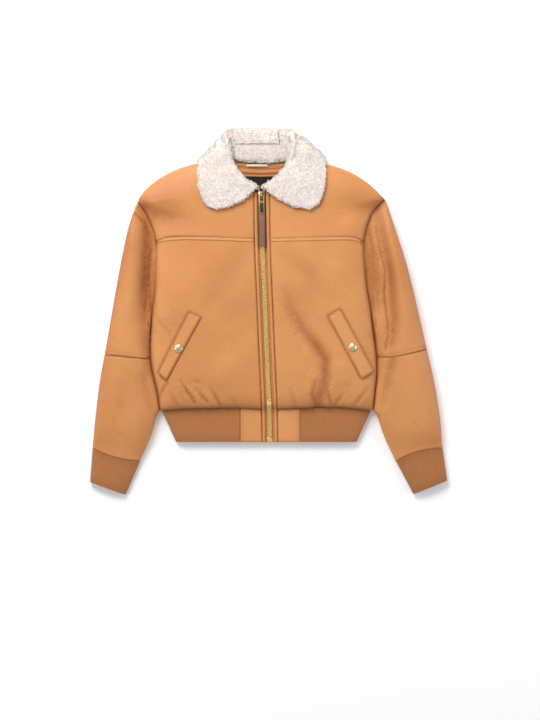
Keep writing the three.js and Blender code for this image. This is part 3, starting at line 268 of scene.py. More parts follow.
def makeKnit(name, look, turn):
    base = fromPhoto(*look["colour"])
    material, tree, shader = freshMaterial(name, base, 0.86, Sheen_Weight=0.25, Sheen_Roughness=0.5)
    place = placeIn(tree)
    split = addNode(tree, "ShaderNodeSeparateXYZ", {0: placeTurned(tree, place, turn)})
    # each rib is two columns of V-shaped stitches
    column = multiplied(tree, split.outputs[0], 1000 * 2 / look["ribMm"])
    lean = calculated(tree, "SUBTRACT", calculated(tree, "FRACT", column), 0.5)
    lean = multiplied(tree, calculated(tree, "ABSOLUTE", lean), look["lean"])
    row = multiplied(tree, split.outputs[1], 1000 / look["courseMm"])
    wave = multiplied(tree, calculated(tree, "ADD", row, lean), 2 * math.pi)
    loops = calculated(tree, "SINE", wave)
    fuzz = noisy(tree, place, 1500, 3)
    height = calculated(tree, "ADD", loops, fuzz.outputs[0])
    # painted shade: darker in the furrows, and between the rows of loops
    colour = mixed(tree, "MIX", stored(tree, "shade"), base, fromPhoto(*look["valley"]))
    colour = tinted(tree, colour, ranged(tree, loops, -1, 1, 0.9, 1.05))
    feed(tree, shader, Base_Color=colour, Normal=bumped(tree, 0.6, 0.35, height))
    return material


waistKnit = makeKnit("waist_knit", knitLook, 0)

pileLook = {"tip": (240, 231, 224), "root": (226, 212, 202)}


def makePile(name, look, curls):
    tip, root = fromPhoto(*look["tip"]), fromPhoto(*look["root"])
    material, tree, shader = freshMaterial(name, tip, 0.95, Sheen_Weight=0.35, Sheen_Roughness=0.6)
    place = placeIn(tree)
    if curls:
        factor = ranged(tree, stored(tree, "tone"), 0, 1, 0.5, 1)
    else:
        factor = ranged(tree, noisy(tree, place, 260, 3).outputs[0], 0.35, 0.62, 0, 1)
    wide = ranged(tree, noisy(tree, place, 30, 2).outputs[0], 0.3, 0.7, 0.96, 1.03)
    colour = tinted(tree, mixed(tree, "MIX", factor, root, tip), wide)
    strands = noisy(tree, place, 900, 3, Distortion=1.5)
    feed(tree, shader, Base_Color=colour, Normal=bumped(tree, 0.7, 0.6, strands.outputs[0]))
    return material


pileGround = makePile("pile_ground", pileLook, False)
pileCurl = makePile("pile_curl", pileLook, True)


def makeBrass(name, gold, old, roughness, metallic=1.0):
    material, tree, shader = freshMaterial(name, gold, roughness, Metallic=metallic)
    place = placeIn(tree)
    cloud = noisy(tree, place, 300, 4).outputs[0]
    scratch = noisy(tree, place, 2500, 2)
    feed(
        tree,
        shader,
        Base_Color=mixed(tree, "MIX", ranged(tree, cloud, 0.5, 0.8, 0, 0.4), gold, old),
        Roughness=ranged(tree, cloud, 0.3, 0.7, roughness - 0.06, roughness + 0.14),
        Normal=bumped(tree, 0.15, 0.05, scratch.outputs[0]),
    )
    return material


brass = makeBrass("brass", (1.0, 0.68, 0.27), (0.8, 0.48, 0.16), 0.3, 0.8)
agedBrass = makeBrass("aged_brass", (0.34, 0.26, 0.12), (0.06, 0.045, 0.02), 0.36)
darkBrass = makeBrass("dark_brass", (0.07, 0.06, 0.035), (0.02, 0.018, 0.012), 0.45)
paleBrass = makeBrass("pale_brass", (0.94, 0.80, 0.52), (0.70, 0.52, 0.26), 0.24)


def makeWoven(name, colour, threadMm, roughness, turn=0):
    base = fromPhoto(*colour)
    material, tree, shader = freshMaterial(name, base, roughness, Sheen_Weight=0.15)
    turned = placeTurned(tree, placeIn(tree), turn)
    wave = {"Vector": turned, "Scale": 500 / threadMm, "Distortion": 0.3}
    across, along = (addNode(tree, "ShaderNodeTexWave", wave, bands_direction=way) for way in "XY")
    weave = multiplied(tree, across.outputs["Fac"], along.outputs["Fac"])
    # painted shade: darker where the shade attribute is set, and in the hollows of the weave
    deep = mixed(tree, "MIX", stored(tree, "shade"), base, tuple(c * 0.22 for c in base))
    colour = tinted(tree, deep, ranged(tree, weave, 0, 1, 0.8, 1.12))
    feed(tree, shader, Base_Color=colour, Normal=bumped(tree, 0.5, 0.2, weave))
    return material


tapeCloth = makeWoven("zip_tape_cloth", (206, 138, 66), 0.7, 0.8)
labelCloth = makeWoven("label_cloth", (40, 32, 29), 0.5, 0.6)
loopCloth = makeWoven("loop_cloth", (238, 224, 210), 0.6, 0.8)
thread = makeWoven("sewing_thread", (160, 94, 48), 0.5, 0.6, 30)
strapThread = makeWoven("strap_thread", (92, 62, 46), 0.4, 0.7, 30)
patchThread = makeWoven("patch_thread", (138, 118, 108), 0.5, 0.8, 30)
print("materials made")


# pieces: from a bmesh, or a finer copy of a solid
def newPiece(name, mesh):
    piece = bpy.data.objects.new(name, mesh)
    scene.collection.objects.link(piece)
    return piece


def finishMesh(work, name, smooth=True):
    mesh = bpy.data.meshes.new(name)
    work.to_mesh(mesh)
    work.free()
    for polygon in mesh.polygons:
        polygon.use_smooth = smooth
    return newPiece(name, mesh)


def settle(piece):
    # the modifiers' result becomes the mesh itself
    bpy.context.view_layer.update()
    graph = bpy.context.evaluated_depsgraph_get()
    shaped = piece.evaluated_get(graph)
    plain = bpy.data.meshes.new_from_object(shaped, preserve_all_data_layers=True, depsgraph=graph)
    piece.modifiers.clear()
    piece.data = plain
    return piece


copying = {"merge": 0.02, "joinAngle": 40, "shapeAngle": 70}


def clothCopy(nodeName, pieceName, levels, sharp=58, kind="CATMULL_CLARK"):
    rough = bmesh.new()
    rough.from_mesh(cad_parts[nodeName].data)
    bmesh.ops.remove_doubles(rough, verts=rough.verts, dist=copying["merge"] * mm)
    bmesh.ops.join_triangles(
        rough,
        faces=rough.faces,
        angle_face_threshold=math.radians(copying["joinAngle"]),
        angle_shape_threshold=math.radians(copying["shapeAngle"]),
    )
    crease = rough.edges.layers.float.new("crease_edge")
    for edge in rough.edges:
        if len(edge.link_faces) == 2 and edge.calc_face_angle(0) > math.radians(sharp):
            edge[crease] = 1.0
    piece = finishMesh(rough, pieceName)
    finer = piece.modifiers.new("finer", "SUBSURF")
    finer.subdivision_type = kind
    finer.levels = finer.render_levels = levels
    settle(piece)
    piece.data.name = pieceName
    return piece


def readVectors(sequence, key):
    flat = np.empty(len(sequence) * 3, np.float32)
    sequence.foreach_get(key, flat)
    return flat.reshape(-1, 3).astype(float)


def readPoints(mesh):
    return readVectors(mesh.vertices, "co") / mm


def readNormals(mesh):
    return readVectors(mesh.vertex_normals, "vector")


def writePoints(mesh, points):
    mesh.vertices.foreach_set("co", (points * mm).astype(np.float32).ravel())
    mesh.update()


def writeValue(mesh, name, values):
    attribute = mesh.attributes.get(name) or mesh.attributes.new(name, "FLOAT", "POINT")
    attribute.data.foreach_set("value", np.clip(values, 0, 1).astype(np.float32))


def writePlain(mesh, shade=0):
    # an even or given painted shade, and no creases
    none = np.zeros(len(mesh.vertices))
    writeValue(mesh, "shade", none + shade)
    writeValue(mesh, "crinkle", none)


def soften(value, low, high):
    t = np.clip((value - low) / (high - low), 0, 1)
    return t * t * (3 - 2 * t)


def sharpVertices(mesh, degrees):
    fine = bmesh.new()
    fine.from_mesh(mesh)
    found = set()
    for edge in fine.edges:
        if len(edge.link_faces) == 2 and edge.calc_face_angle(0) > math.radians(degrees):
            edge.smooth = False
            found.update((edge.verts[0].index, edge.verts[1].index))
    fine.to_mesh(mesh)
    fine.free()
    return sorted(found)


def dress(piece, material):
    piece.data.materials.clear()
    piece.data.materials.append(material)
    for polygon in piece.data.polygons:
        polygon.material_index = 0
    return piece


# folds, valleys and patches: how the cloth lies, as the photograph shows it, and where painted shade darkens
# it
foldShape = {"fade": 0.3, "shoulder": 0.25, "shoulderAt": 2.1, "shoulderWide": 0.9}
valleyLip = {"at": 2.0, "share": 0.3}


def foldRow(start, end, width, lift, bow=0):
    # lift below 0 is a trough
    return {"from": start, "to": end, "width": width, "lift": lift, "bow": bow}


def valleyRow(width, amount, sink, *line):
    # widths to the left and right; strengths at the start, middle and end, which set the depth and the
    # painted shade
    return {"line": line, "width": width, "amount": amount, "sink": sink}


def patchRow(at, reach, amount, turn=0):
    return {"at": at, "reach": reach, "amount": amount, "turn": turn}


def foldAmount(points, folds):
    # how far each fold lifts or sinks the cloth, in mm, with a low shoulder on both sides
    total = np.zeros(len(points))
    fade = foldShape["fade"]
    for fold in folds:
        start, end = np.array(fold["from"], float), np.array(fold["to"], float)
        length = np.hypot(*(end - start))
        unit = (end - start) / length
        away = points[:, :2] - start
        t = away @ unit / length
        off = away @ np.array([-unit[1], unit[0]]) - fold["bow"] * 4 * t * (1 - t)
        window = soften(t, 0, fade) * (1 - soften(t, 1 - fade, 1))
        w = fold["width"]
        shape = np.exp(-((off / w) ** 2))
        beside = (np.abs(off) - foldShape["shoulderAt"] * w) / (foldShape["shoulderWide"] * w)
        shoulder = np.exp(-(beside ** 2)) * foldShape["shoulder"]
        total += fold["lift"] * (shape - shoulder) * window
    return total


def patchAmount(points, patches):
    total = np.zeros(len(points))
    for patch in patches:
        turn = math.radians(patch["turn"])
        away = points[:, :2] - np.array(patch["at"], float)
        across = away[:, 0] * math.cos(turn) + away[:, 1] * math.sin(turn)
        along = -away[:, 0] * math.sin(turn) + away[:, 1] * math.cos(turn)
        reach = np.hypot(across / patch["reach"][0], along / patch["reach"][1])
        total = np.maximum(total, patch["amount"] * np.exp(-(reach ** 2)))
    return total


def lineAmount(points, lines, depth):
    # a valley along each line: its depth in mm, or else how dark its painted shade is
    total = np.zeros(len(points))
    for line in lines:
        corners = [np.array(p, float) for p in line["line"]]
        reach = np.cumsum([0] + [np.linalg.norm(b - a) for a, b in zip(corners, corners[1:])])
        near = np.full(len(points), 999.0)
        along = np.zeros(len(points))
        wide = np.ones(len(points))
        for k, (a, b) in enumerate(zip(corners, corners[1:])):
            t = np.clip(((points[:, :2] - a) @ (b - a)) / ((b - a) @ (b - a)), 0, 1)
            gap = points[:, :2] - (a + t[:, None] * (b - a))
            far = np.hypot(gap[:, 0], gap[:, 1])
            left = (b - a)[0] * gap[:, 1] > (b - a)[1] * gap[:, 0]
            closer = far < near
            along[closer] = (reach[k] + t[closer] * (reach[k + 1] - reach[k])) / reach[-1]
            wide[closer] = np.where(left, line["width"][0], line["width"][1])[closer]
            near = np.minimum(near, far)
        strength = np.interp(along, (0, 0.5, 1), line["amount"])
        valley = strength * np.exp(-((near / wide) ** 2))
        if depth:
            lip = np.exp(-(((near - valleyLip["at"] * wide) / wide) ** 2)) * strength * valleyLip["share"]
            total -= line["sink"] / max(line["amount"]) * (valley - lip)
        else:
            total = np.maximum(total, valley)
    return total


bodyFolds = [
    foldRow((74, -60), (96, -150), 9, 2.2, -4),
    foldRow((140, -90), (150, -150), 14, 2.0),
    foldRow((-120, 40), (-60, -40), 24, -1.4),
    foldRow((-60, -90), (-110, -150), 22, 1.8),
    foldRow((-176, 60), (-168, -20), 20, 1.4),
    foldRow((140, 100), (120, 20), 20, 1.6),
]
bodyValleys = [
    valleyRow(
        (10, 11), (0.1, 0.6, 0.46), 4.6,
        (34, 34), (48, -2), (67, -37), (92, -66), (111, -95), (113, -128), (102, -163), (97, -182),
    ),
    valleyRow((4, 6), (0.05, 0.22, 0.05), 1.6, (30, 20), (42, -8), (58, -44)),
    valleyRow((4, 5), (0.05, 0.26, 0.1), 1.6, (104, -70), (114, -100), (112, -132)),
    valleyRow((16, 16), (0.08, 0.2, 0.05), 2.2, (32, 110), (81, 71), (104, 32)),
    valleyRow((24, 24), (0.08, 0.18, 0.05), 2.2, (-36, 135), (-85, 57), (-124, 12)),
    valleyRow((3, 5), (0.1, 0.26, 0.1), 1.2, (-222, -6), (-205, -28), (-190, -48)),
    valleyRow((3, 3.4), (0.2, 0.42, 0.2), 1.6, (-196, -139), (-204, -152), (-212, -168)),
    valleyRow((2.8, 4.2), (0.15, 0.54, 0.4), 2.8, (-171, -136), (-163, -149), (-151, -165), (-143, -179)),
    valleyRow((2.8, 4), (0.12, 0.52, 0.4), 2.4, (-139, -152), (-129, -165), (-119, -177)),
    valleyRow((2.8, 4.4), (0.12, 0.5, 0.4), 2.8, (-114, -148), (-104, -163), (-93, -184)),
    valleyRow((3, 4), (0.05, 0.2, 0.05), 1.0, (-150, -133), (-129, -144)),
    valleyRow((3, 4), (0.05, 0.2, 0.2), 1.0, (-70, -165), (-62, -184)),
    valleyRow((3, 4), (0.1, 0.3, 0.2), 1.4, (-190, -160), (-178, -184)),
    valleyRow((3, 4.2), (0.2, 0.56, 0.44), 3.2, (90, -138), (86, -163), (92, -186)),
    valleyRow((3, 4.2), (0.2, 0.56, 0.4), 3.0, (121, -134), (114, -154), (122, -180)),
    valleyRow((3, 4), (0.1, 0.36, 0.3), 1.8, (146, -161), (129, -184)),
    valleyRow((3.4, 5), (0.1, 0.3, 0.2), 1.8, (194, -152), (168, -184)),
    valleyRow((4, 5), (0.05, 0.22, 0.2), 1.4, (42, -152), (52, -186)),
    valleyRow((15, 22), (0.78, 0.62, 0.12), 4.2, (-248, 207), (-222, 193), (-190, 183), (-150, 179)),
    valleyRow((18, 13), (0.6, 0.44, 0.08), 3.6, (227, 216), (205, 206), (178, 201), (146, 200)),
]
weltCorners = {
    "right": [(-155, -1), (-131.5, -11.3), (-199.5, -135), (-216, -119.5)],
    "left": [(114.7, -9), (139, 4.8), (204.8, -117), (180.5, -131.6)],
}
# a shallow valley with painted shade around each welt
weltValleys = [valleyRow((2.6, 2.6), (0.42, 0.42, 0.42), 0.7, *c, c[0]) for c in weltCorners.values()]
bodyCrinkles = [
    patchRow((-225, 40), (16, 120), 1.0),
    patchRow((-140, -160), (66, 34), 0.7),
    patchRow((104, -150), (60, 38), 0.7),
    patchRow((188, -60), (18, 110), 0.6),
    patchRow((52, -20), (22, 60), 0.8, 20),
    patchRow((108, -100), (18, 40), 0.6),
    patchRow((-196, -24), (22, 44), 0.7),
    patchRow((-70, 20), (50, 50), 0.3),
]
bodyShades = [
    patchRow((-215, 208), (56, 36), 0.24, 28),
    patchRow((186, 214), (50, 30), 0.18, -28),
]
sleeveFolds = [
    foldRow((-300, 60), (-310, -60), 22, -1.6),
    foldRow((-270, 120), (-276, -40), 14, 1.6),
    foldRow((-250, -110), (-240, -190), 12, -1.6),
    foldRow((270, 60), (284, -60), 16, 1.6),
    foldRow((-306, -226), (-286, -250), 4.0, -1.0),
    foldRow((280, -214), (292, -236), 3.2, -0.9),
    foldRow((-290, -110), (-300, -190), 16, 1.2),
]
sleeveValleys = [
    valleyRow(
        (14, 12), (0.55, 0.74, 0.36), 3.6,
        (-247, 198), (-238, 165), (-237, 130), (-240, 80), (-243, 30), (-243, -20), (-238, -72),
    ),
    valleyRow((2.6, 3), (0.6, 0.7, 0.5), 2.2, (-258, 190), (-241, 170), (-229, 147), (-222, 129)),
    valleyRow((2.4, 3), (0.5, 0.6, 0.4), 2.0, (-253, 202), (-241, 190), (-229, 176), (-224, 158)),
    valleyRow((3, 3), (0.4, 0.5, 0.2), 1.6, (-228, 120), (-231, 70), (-229, 20)),
    valleyRow((11, 9), (0.16, 0.26, 0.2), 1.8, (-236, -98), (-241, -140), (-230, -192)),
    valleyRow(
        (11, 9), (0.42, 0.68, 0.32), 4.0,
        (213, 199), (227, 129), (237, 80), (242, 32), (246, -17), (238, -68),
    ),
    valleyRow(
        (3, 3.4), (0.35, 0.6, 0.3), 2.4,
        (209, 164), (220, 110), (227, 80), (225, 32), (234, -41), (228, -76),
    ),
    valleyRow((3, 3), (0.3, 0.4, 0.15), 1.4, (196, 150), (204, 110), (203, 60)),
    valleyRow((10, 8), (0.34, 0.3, 0.14), 2.4, (242, -95), (232, -139), (221, -180)),
]
# painted shade along the sleeves' outer sides, with no depth
outerSideShades = [
    valleyRow((18, 18), (0.5, 0.42, 0.3), 0, (-270, 205), (-296, 60), (-322, -80), (-344, -250)),
    valleyRow((18, 18), (0.3, 0.26, 0.2), 0, (238, 205), (275, 60), (310, -70), (340, -250)),
]
sleeveCrinkles = [
    patchRow((-236, 70), (18, 140), 1.0),
    patchRow((-238, -60), (15, 60), 0.8),
    patchRow((216, 80), (22, 130), 1.0, 8),
    patchRow((234, -50), (20, 60), 1.0),
    patchRow((-246, -130), (18, 60), 0.6),
    patchRow((234, -130), (20, 60), 0.8),
]
sleeveShades = [
    patchRow((-228, 60), (11, 100), 0.42),
    patchRow((204, 60), (14, 100), 0.36, 4),
]
tabCrinkles = [patchRow((0, -220), (80, 30), 0.3)]
# two fold lines on the facing, sunk a little and darkened with painted shade
neckValleys = [
    valleyRow(
        (1.8, 2.8), (0.5, 0.62, 0.5), 0.9,
        (-72, 283), (-40, 279), (-14, 277.5), (20, 279), (46, 283),
    ),
    valleyRow((1.5, 2.2), (0.7, 0.85, 0.7), 0.9, (-72, 270), (-14, 267.4), (46, 270)),
]

onBody = {
    "folds": bodyFolds,
    "valleys": bodyValleys + weltValleys,
    "crinkles": bodyCrinkles,
    "shades": bodyShades,
}
onSleeve = {
    "folds": sleeveFolds,
    "valleys": sleeveValleys + outerSideShades,
    "crinkles": sleeveCrinkles,
    "shades": sleeveShades,
    "tube": True,
}
onWelt = {"folds": bodyFolds, "valleys": bodyValleys, "crinkles": tabCrinkles}

# seams are rolled in and slightly puckered, with painted shade on the roll; edges get painted shade where the
# cloth turns down
seamRoll = {"sharp": 50, "reach": 4.2, "drop": 1.1, "shade": 0.3, "pucker": 0.5, "puckerMm": 11, "wide": 9}
upperSide = {"low": 7, "high": 17}
turnedEdgeShade = {"zipAt": -6, "near": 14, "far": 40, "least": 0.1, "more": 0.3}


def pressFolds(piece, folds=(), valleys=(), crinkles=(), shades=(), tube=False):
    mesh = piece.data
    points, normals = readPoints(mesh), readNormals(mesh)
    upper = soften(points[:, 2], upperSide["low"], upperSide["high"]) if tube else np.ones(len(points))
    amount = foldAmount(points, folds) + lineAmount(points, valleys, True)
    facingUp = normals[:, 2] > 0.05
    edges = [i for i in sharpVertices(mesh, seamRoll["sharp"]) if facingUp[i]]
    near = np.full(len(points), 99.0)
    if edges:
        tree = KDTree(len(edges))
        for slot, index in enumerate(edges):
            tree.insert(points[index], slot)
        tree.balance()
        for index in np.nonzero(facingUp)[0]:
            near[index] = tree.find(points[index])[2]
    roll = np.clip(1 - near / seamRoll["reach"], 0, 1) ** 2
    broad = np.exp(-((near / seamRoll["wide"]) ** 2))
    ripple = np.zeros(len(points))
    for index in np.nonzero(broad > 0.02)[0]:
        ripple[index] = noise.noise(Vector(points[index]) / seamRoll["puckerMm"])
    points[:, 2] += upper * (amount - seamRoll["drop"] * roll + seamRoll["pucker"] * ripple * broad)
    writePoints(mesh, points)
    # painted shade: along valleys, in shade patches, on rolled seams and on edges that turn down
    shade = np.maximum(patchAmount(points, shades), lineAmount(points, valleys, False))
    shade += seamRoll["shade"] * roll
    turned = (1 - soften(normals[:, 2], 0.1, 0.8)) * soften(normals[:, 2], -0.8, -0.3)
    besideZip = soften(np.abs(points[:, 0] - turnedEdgeShade["zipAt"]), turnedEdgeShade["near"], turnedEdgeShade["far"])
    turned *= turnedEdgeShade["least"] + turnedEdgeShade["more"] * besideZip
    writeValue(mesh, "shade", shade * upper + turned)
    writeValue(mesh, "crinkle", patchAmount(points, crinkles) * upper)
    return piece


# the sleeves lie close against the body, from under the arm to the waist
hug = {"low": -197, "high": 130, "band": 6, "near": 4.2, "reach": 26, "leave": -0.8, "most": 7}
pieces = {}


def bandEdge(points, towards, levels):
    # how far a piece reaches at each height of the photograph
    edge = []
    for level in levels:
        near = points[np.abs(points[:, 1] - level) < hug["near"]]
        edge.append((near[:, 0] * towards).max() * towards if len(near) else np.nan)
    return np.array(edge)


def closeUp(side, towards):
    # towards is +1 where the body lies at greater x than the sleeve
    low, high = hug["low"], hug["high"]
    levels = np.arange(low, high, hug["band"])
    sleeves = ["sleeve_upper_" + side, "sleeve_lower_" + side]
    body = ["front_" + side, "back"]
    held = {name: readPoints(pieces[name].data) for name in sleeves + body}
    sleeveEdge = np.fmax.reduce([bandEdge(held[n], towards, levels) * towards for n in sleeves])
    bodyEdge = np.fmax.reduce([bandEdge(held[n], -towards, levels) * -towards for n in body])
    gap = np.nan_to_num(-bodyEdge - sleeveEdge, nan=0.0)
    move = np.clip((gap - hug["leave"]) / 2, 0, hug["most"])
    print("gap beside the", side, "sleeve, mm:", np.round(gap[::6], 1))
    for names, edge, sign in ((sleeves, sleeveEdge, towards), (body, bodyEdge, -towards)):
        edge = edge * sign
        known = ~np.isnan(edge)
        for name in names:
            points = held[name]
            here = np.interp(points[:, 1], levels[known], edge[known])
            weight = np.clip(1 - np.abs(here - points[:, 0]) / hug["reach"], 0, 1) ** 1.5
            ends = soften(points[:, 1], low - 10, low + 4) * (1 - soften(points[:, 1], high - 20, high))
            points[:, 0] += sign * np.interp(points[:, 1], levels, move) * weight * ends
            writePoints(pieces[name].data, points)


leatherPieces = [
    {"node": "front_right", "levels": 3, "flat": (0.235, 0.345), "area": 0.0735, "press": onBody},
    {"node": "front_left", "levels": 3, "flat": (0.225, 0.345), "area": 0.0695, "press": onBody},
    {"node": "yoke_right", "levels": 3, "flat": (0.235, 0.17), "area": 0.0295, "press": onBody},
    {"node": "yoke_left", "levels": 3, "flat": (0.235, 0.17), "area": 0.0285, "press": onBody},
    {"node": "back", "levels": 2, "flat": (0.5, 0.52), "area": 0.209, "press": {"tube": True}},
    {"node": "sleeve_upper_right", "levels": 3, "flat": (0.245, 0.31), "area": 0.0495, "press": onSleeve},
    {"node": "sleeve_upper_left", "levels": 3, "flat": (0.265, 0.31), "area": 0.0555, "press": onSleeve},
    {"node": "sleeve_lower_right", "levels": 3, "flat": (0.255, 0.215), "area": 0.0486, "press": onSleeve},
    {"node": "sleeve_lower_left", "levels": 3, "flat": (0.26, 0.225), "area": 0.0497, "press": onSleeve},
]
for row in leatherPieces:
    pieces[row["node"]] = clothCopy(row["node"], row["node"] + "_leather", row["levels"])
closeUp("right", 1)
closeUp("left", -1)
for row in leatherPieces:
    piece = pressFolds(pieces[row["node"]], **row["press"])
    dress(piece, leather)
    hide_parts(row["node"])
    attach(piece, "jacket")
print("leather panels made")


# ribbed knit
def shadeRibs(piece):
    # painted shade: the furrow between two ribs is darker
    normals = readNormals(piece.data)
    writePlain(piece.data, np.clip(1 - np.abs(normals[:, 2]), 0, 1) * 0.8)
    sharpVertices(piece.data, 50)
    return piece


knitPieces = [
    {"node": "rib_front_right", "turn": 0, "flat": (0.155, 0.068), "area": 0.0098},
    {"node": "rib_front_left", "turn": 0, "flat": (0.142, 0.068), "area": 0.0090},
    {"node": "rib_back", "turn": 0, "flat": (0.41, 0.069), "area": 0.0270},
    {"node": "cuff_right", "turn": 16, "flat": (0.17, 0.078), "area": 0.0122},
    {"node": "cuff_left", "turn": -17, "flat": (0.18, 0.078), "area": 0.0133},
]
for row in knitPieces:
    piece = shadeRibs(clothCopy(row["node"], row["node"] + "_knit", 2, 66, "SIMPLE"))
    dress(piece, makeKnit(row["node"] + "_yarn", knitLook, row["turn"]) if row["turn"] else waistKnit)
    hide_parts(row["node"])
    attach(piece, "jacket")
    pieces[row["node"]] = piece
print("knit made")


# tabs, plackets, welts, zip tapes and neck pieces
def trim(node, material, slot, levels, flat, area=None, press=None):
    row = {"node": node, "material": material, "slot": slot, "levels": levels}
    return {**row, "flat": flat, "area": area, "press": press}


onTab = {"crinkles": tabCrinkles}
trimPieces = [
    trim("waist_tab_right", edgeLeather, "leather", 4, (0.043, 0.066), press=onTab),
    trim("waist_tab_left", edgeLeather, "leather", 4, (0.0445, 0.066), press=onTab),
    trim("placket_right", edgeLeather, "leather", 3, (0.01, 0.487), 0.0042, onTab),
    trim("placket_left", edgeLeather, "leather", 3, (0.01, 0.487), 0.0042, onTab),
    trim("pocket_welt_right", edgeLeather, "leather", 3, (0.026, 0.14), press=onWelt),
    trim("pocket_welt_left", edgeLeather, "leather", 3, (0.03, 0.14), press=onWelt),
    trim("zip_tape_right", tapeCloth, "tape", 2, (0.011, 0.487)),
    trim("zip_tape_left", tapeCloth, "tape", 2, (0.011, 0.487)),
    trim("neck_facing", facingLeather, "leather", 3, (0.126, 0.0235), press={"valleys": neckValleys}),
    trim("neck_label", labelCloth, "label", 3, (0.106, 0.058)),
    trim("hanger_loop", loopCloth, "pile", 3, (0.01, 0.046), 0.00023),
]
pullShadow = {"from": 112, "to": 122, "amount": 0.75}
for row in trimPieces:
    piece = clothCopy(row["node"], row["node"] + "_trim", row["levels"])
    if row["press"]:
        pressFolds(piece, **row["press"])
    else:
        sharpVertices(piece.data, 50)
        shade = 0
        if row["slot"] == "tape":
            # the tape is darker beside the pull, in its shadow
            shade = soften(readPoints(piece.data)[:, 1], pullShadow["from"], pullShadow["to"])
        writePlain(piece.data, shade * pullShadow["amount"])
    dress(piece, row["material"])
    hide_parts(row["node"])
    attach(piece, "jacket")
    pieces[row["node"]] = piece
print("trims made")


# what is laid on the cloth finds its height by a ray from above
highAbove = 90
level = (20, Vector((0, 0, 1)))


def groundUnder(names):
    vertices, faces = [], []
    for name in names:
        mesh = pieces[name].data
        start = len(vertices)
        vertices.extend(v.co.copy() for v in mesh.vertices)
        faces.extend([start + i for i in p.vertices] for p in mesh.polygons)
    return BVHTree.FromPolygons(vertices, faces)


def dropOnto(tree, x, y, fallback):
    # the height and the slope under a point, or the last ones known
    hit = tree.ray_cast(Vector((x * mm, y * mm, highAbove * mm)), Vector((0, 0, -1)))
    if hit[0] is None or hit[1].z < 0.1:
        return fallback
    return hit[0].z / mm, hit[1]


def evenly(line, step):
    points = [np.array(p, float) for p in line]
    gaps = [np.linalg.norm(b - a) for a, b in zip(points, points[1:])]
    count = max(2, round(sum(gaps) / step))
    out, reach = [], np.concatenate([[0], np.cumsum(gaps)])
    for k in range(count + 1):
        at = reach[-1] * k / count
        i = min(len(gaps) - 1, int(np.searchsorted(reach, at, side="right") - 1))
        out.append(points[i] + (points[i + 1] - points[i]) * ((at - reach[i]) / gaps[i]))
    return out


def rounded(line, step, passes):
    # even points along the line, with its corners eased
    points = evenly(line, step)
    for _ in range(passes):
        eased = [(a + 2 * b + c) / 4 for a, b, c in zip(points, points[1:], points[2:])]
        points = [points[0]] + eased + [points[-1]]
    return points


def leftOf(line, k):
    # one step to the left of the line at its point k
    ahead = line[min(k + 1, len(line) - 1)] - line[max(k - 1, 0)]
    ahead = ahead / np.linalg.norm(ahead)
    return np.array([-ahead[1], ahead[0]])


# lapped seams and piping: a raised strip with rounded edges
stripShape = {
    "across": [-1, -0.94, -0.8, -0.5, 0, 0.5, 0.8, 0.94, 1],
    "lift": [-0.35, 0.15, 0.62, 0.92, 1.0, 0.92, 0.62, 0.15, -0.35],
    "step": 2.0,
    "eased": 6,
    "swell": 0.22,
    "swellMm": 13,
    "sink": 0.5,
    "deeper": 0.4,
}


def layStrip(name, line, width, rise, tree):
    stations = rounded(line, stripShape["step"], stripShape["eased"])
    last = len(stations) - 1
    fallback = level
    rows = []
    for k, here in enumerate(stations):
        side = leftOf(stations, k)
        uneven = noise.noise(Vector((here[0] / stripShape["swellMm"], here[1] / stripShape["swellMm"], 2.7)))
        swell = 1 + stripShape["swell"] * uneven
        end = min(1, min(k, last - k) / 1.5 + 0.3)
        section = []
        for u, h in zip(stripShape["across"], stripShape["lift"]):
            spot = here + side * (u * width / 2)
            fallback = dropOnto(tree, spot[0], spot[1], fallback)
            section.append((spot[0] * mm, spot[1] * mm, (fallback[0] + (h * rise * swell) * end) * mm))
        rows.append(section)
    wide = len(stripShape["across"])
    sunk = [stripShape["sink"] + (stripShape["deeper"] if 0 < i < wide - 1 else 0) for i in range(wide)]
    strip = bmesh.new()
    top = [[strip.verts.new(p) for p in section] for section in rows]
    low = [[strip.verts.new((p[0], p[1], p[2] - d * mm)) for p, d in zip(s, sunk)] for s in rows]
    for k in range(last):
        for i in range(wide - 1):
            strip.faces.new((top[k][i], top[k][i + 1], top[k + 1][i + 1], top[k + 1][i]))
            strip.faces.new((low[k][i], low[k + 1][i], low[k + 1][i + 1], low[k][i + 1]))
        strip.faces.new((top[k][0], top[k + 1][0], low[k + 1][0], low[k][0]))
        strip.faces.new((top[k][-1], low[k][-1], low[k + 1][-1], top[k + 1][-1]))
    for k in (0, -1):
        for i in range(wide - 1):
            strip.faces.new((top[k][i], low[k][i], low[k][i + 1], top[k][i + 1]))
    bmesh.ops.recalc_face_normals(strip, faces=strip.faces)
    piece = finishMesh(strip, name)
    sharpVertices(piece.data, 60)
    # painted shade: the strip is darker where its sides slope down
    slope = np.abs(readNormals(piece.data)[:, 2] - 1)
    writeValue(piece.data, "shade", 1.3 * slope ** 0.6 - 0.25)
    writeValue(piece.data, "crinkle", np.full(len(piece.data.vertices), 0.1))
    dress(piece, leather)
    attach(piece, "jacket")
    return piece


neckPiping = {"line": [(-54, 265), (-14, 263.6), (28, 265)], "width": 3.6, "rise": 0.8}
onFacing = groundUnder(["neck_facing"])
piping = layStrip("neck_piping", neckPiping["line"], neckPiping["width"], neckPiping["rise"], onFacing)


def lapped(name, over, flat, area, line):
    return {"name": name, "over": over, "flat": flat, "area": area, "line": line}


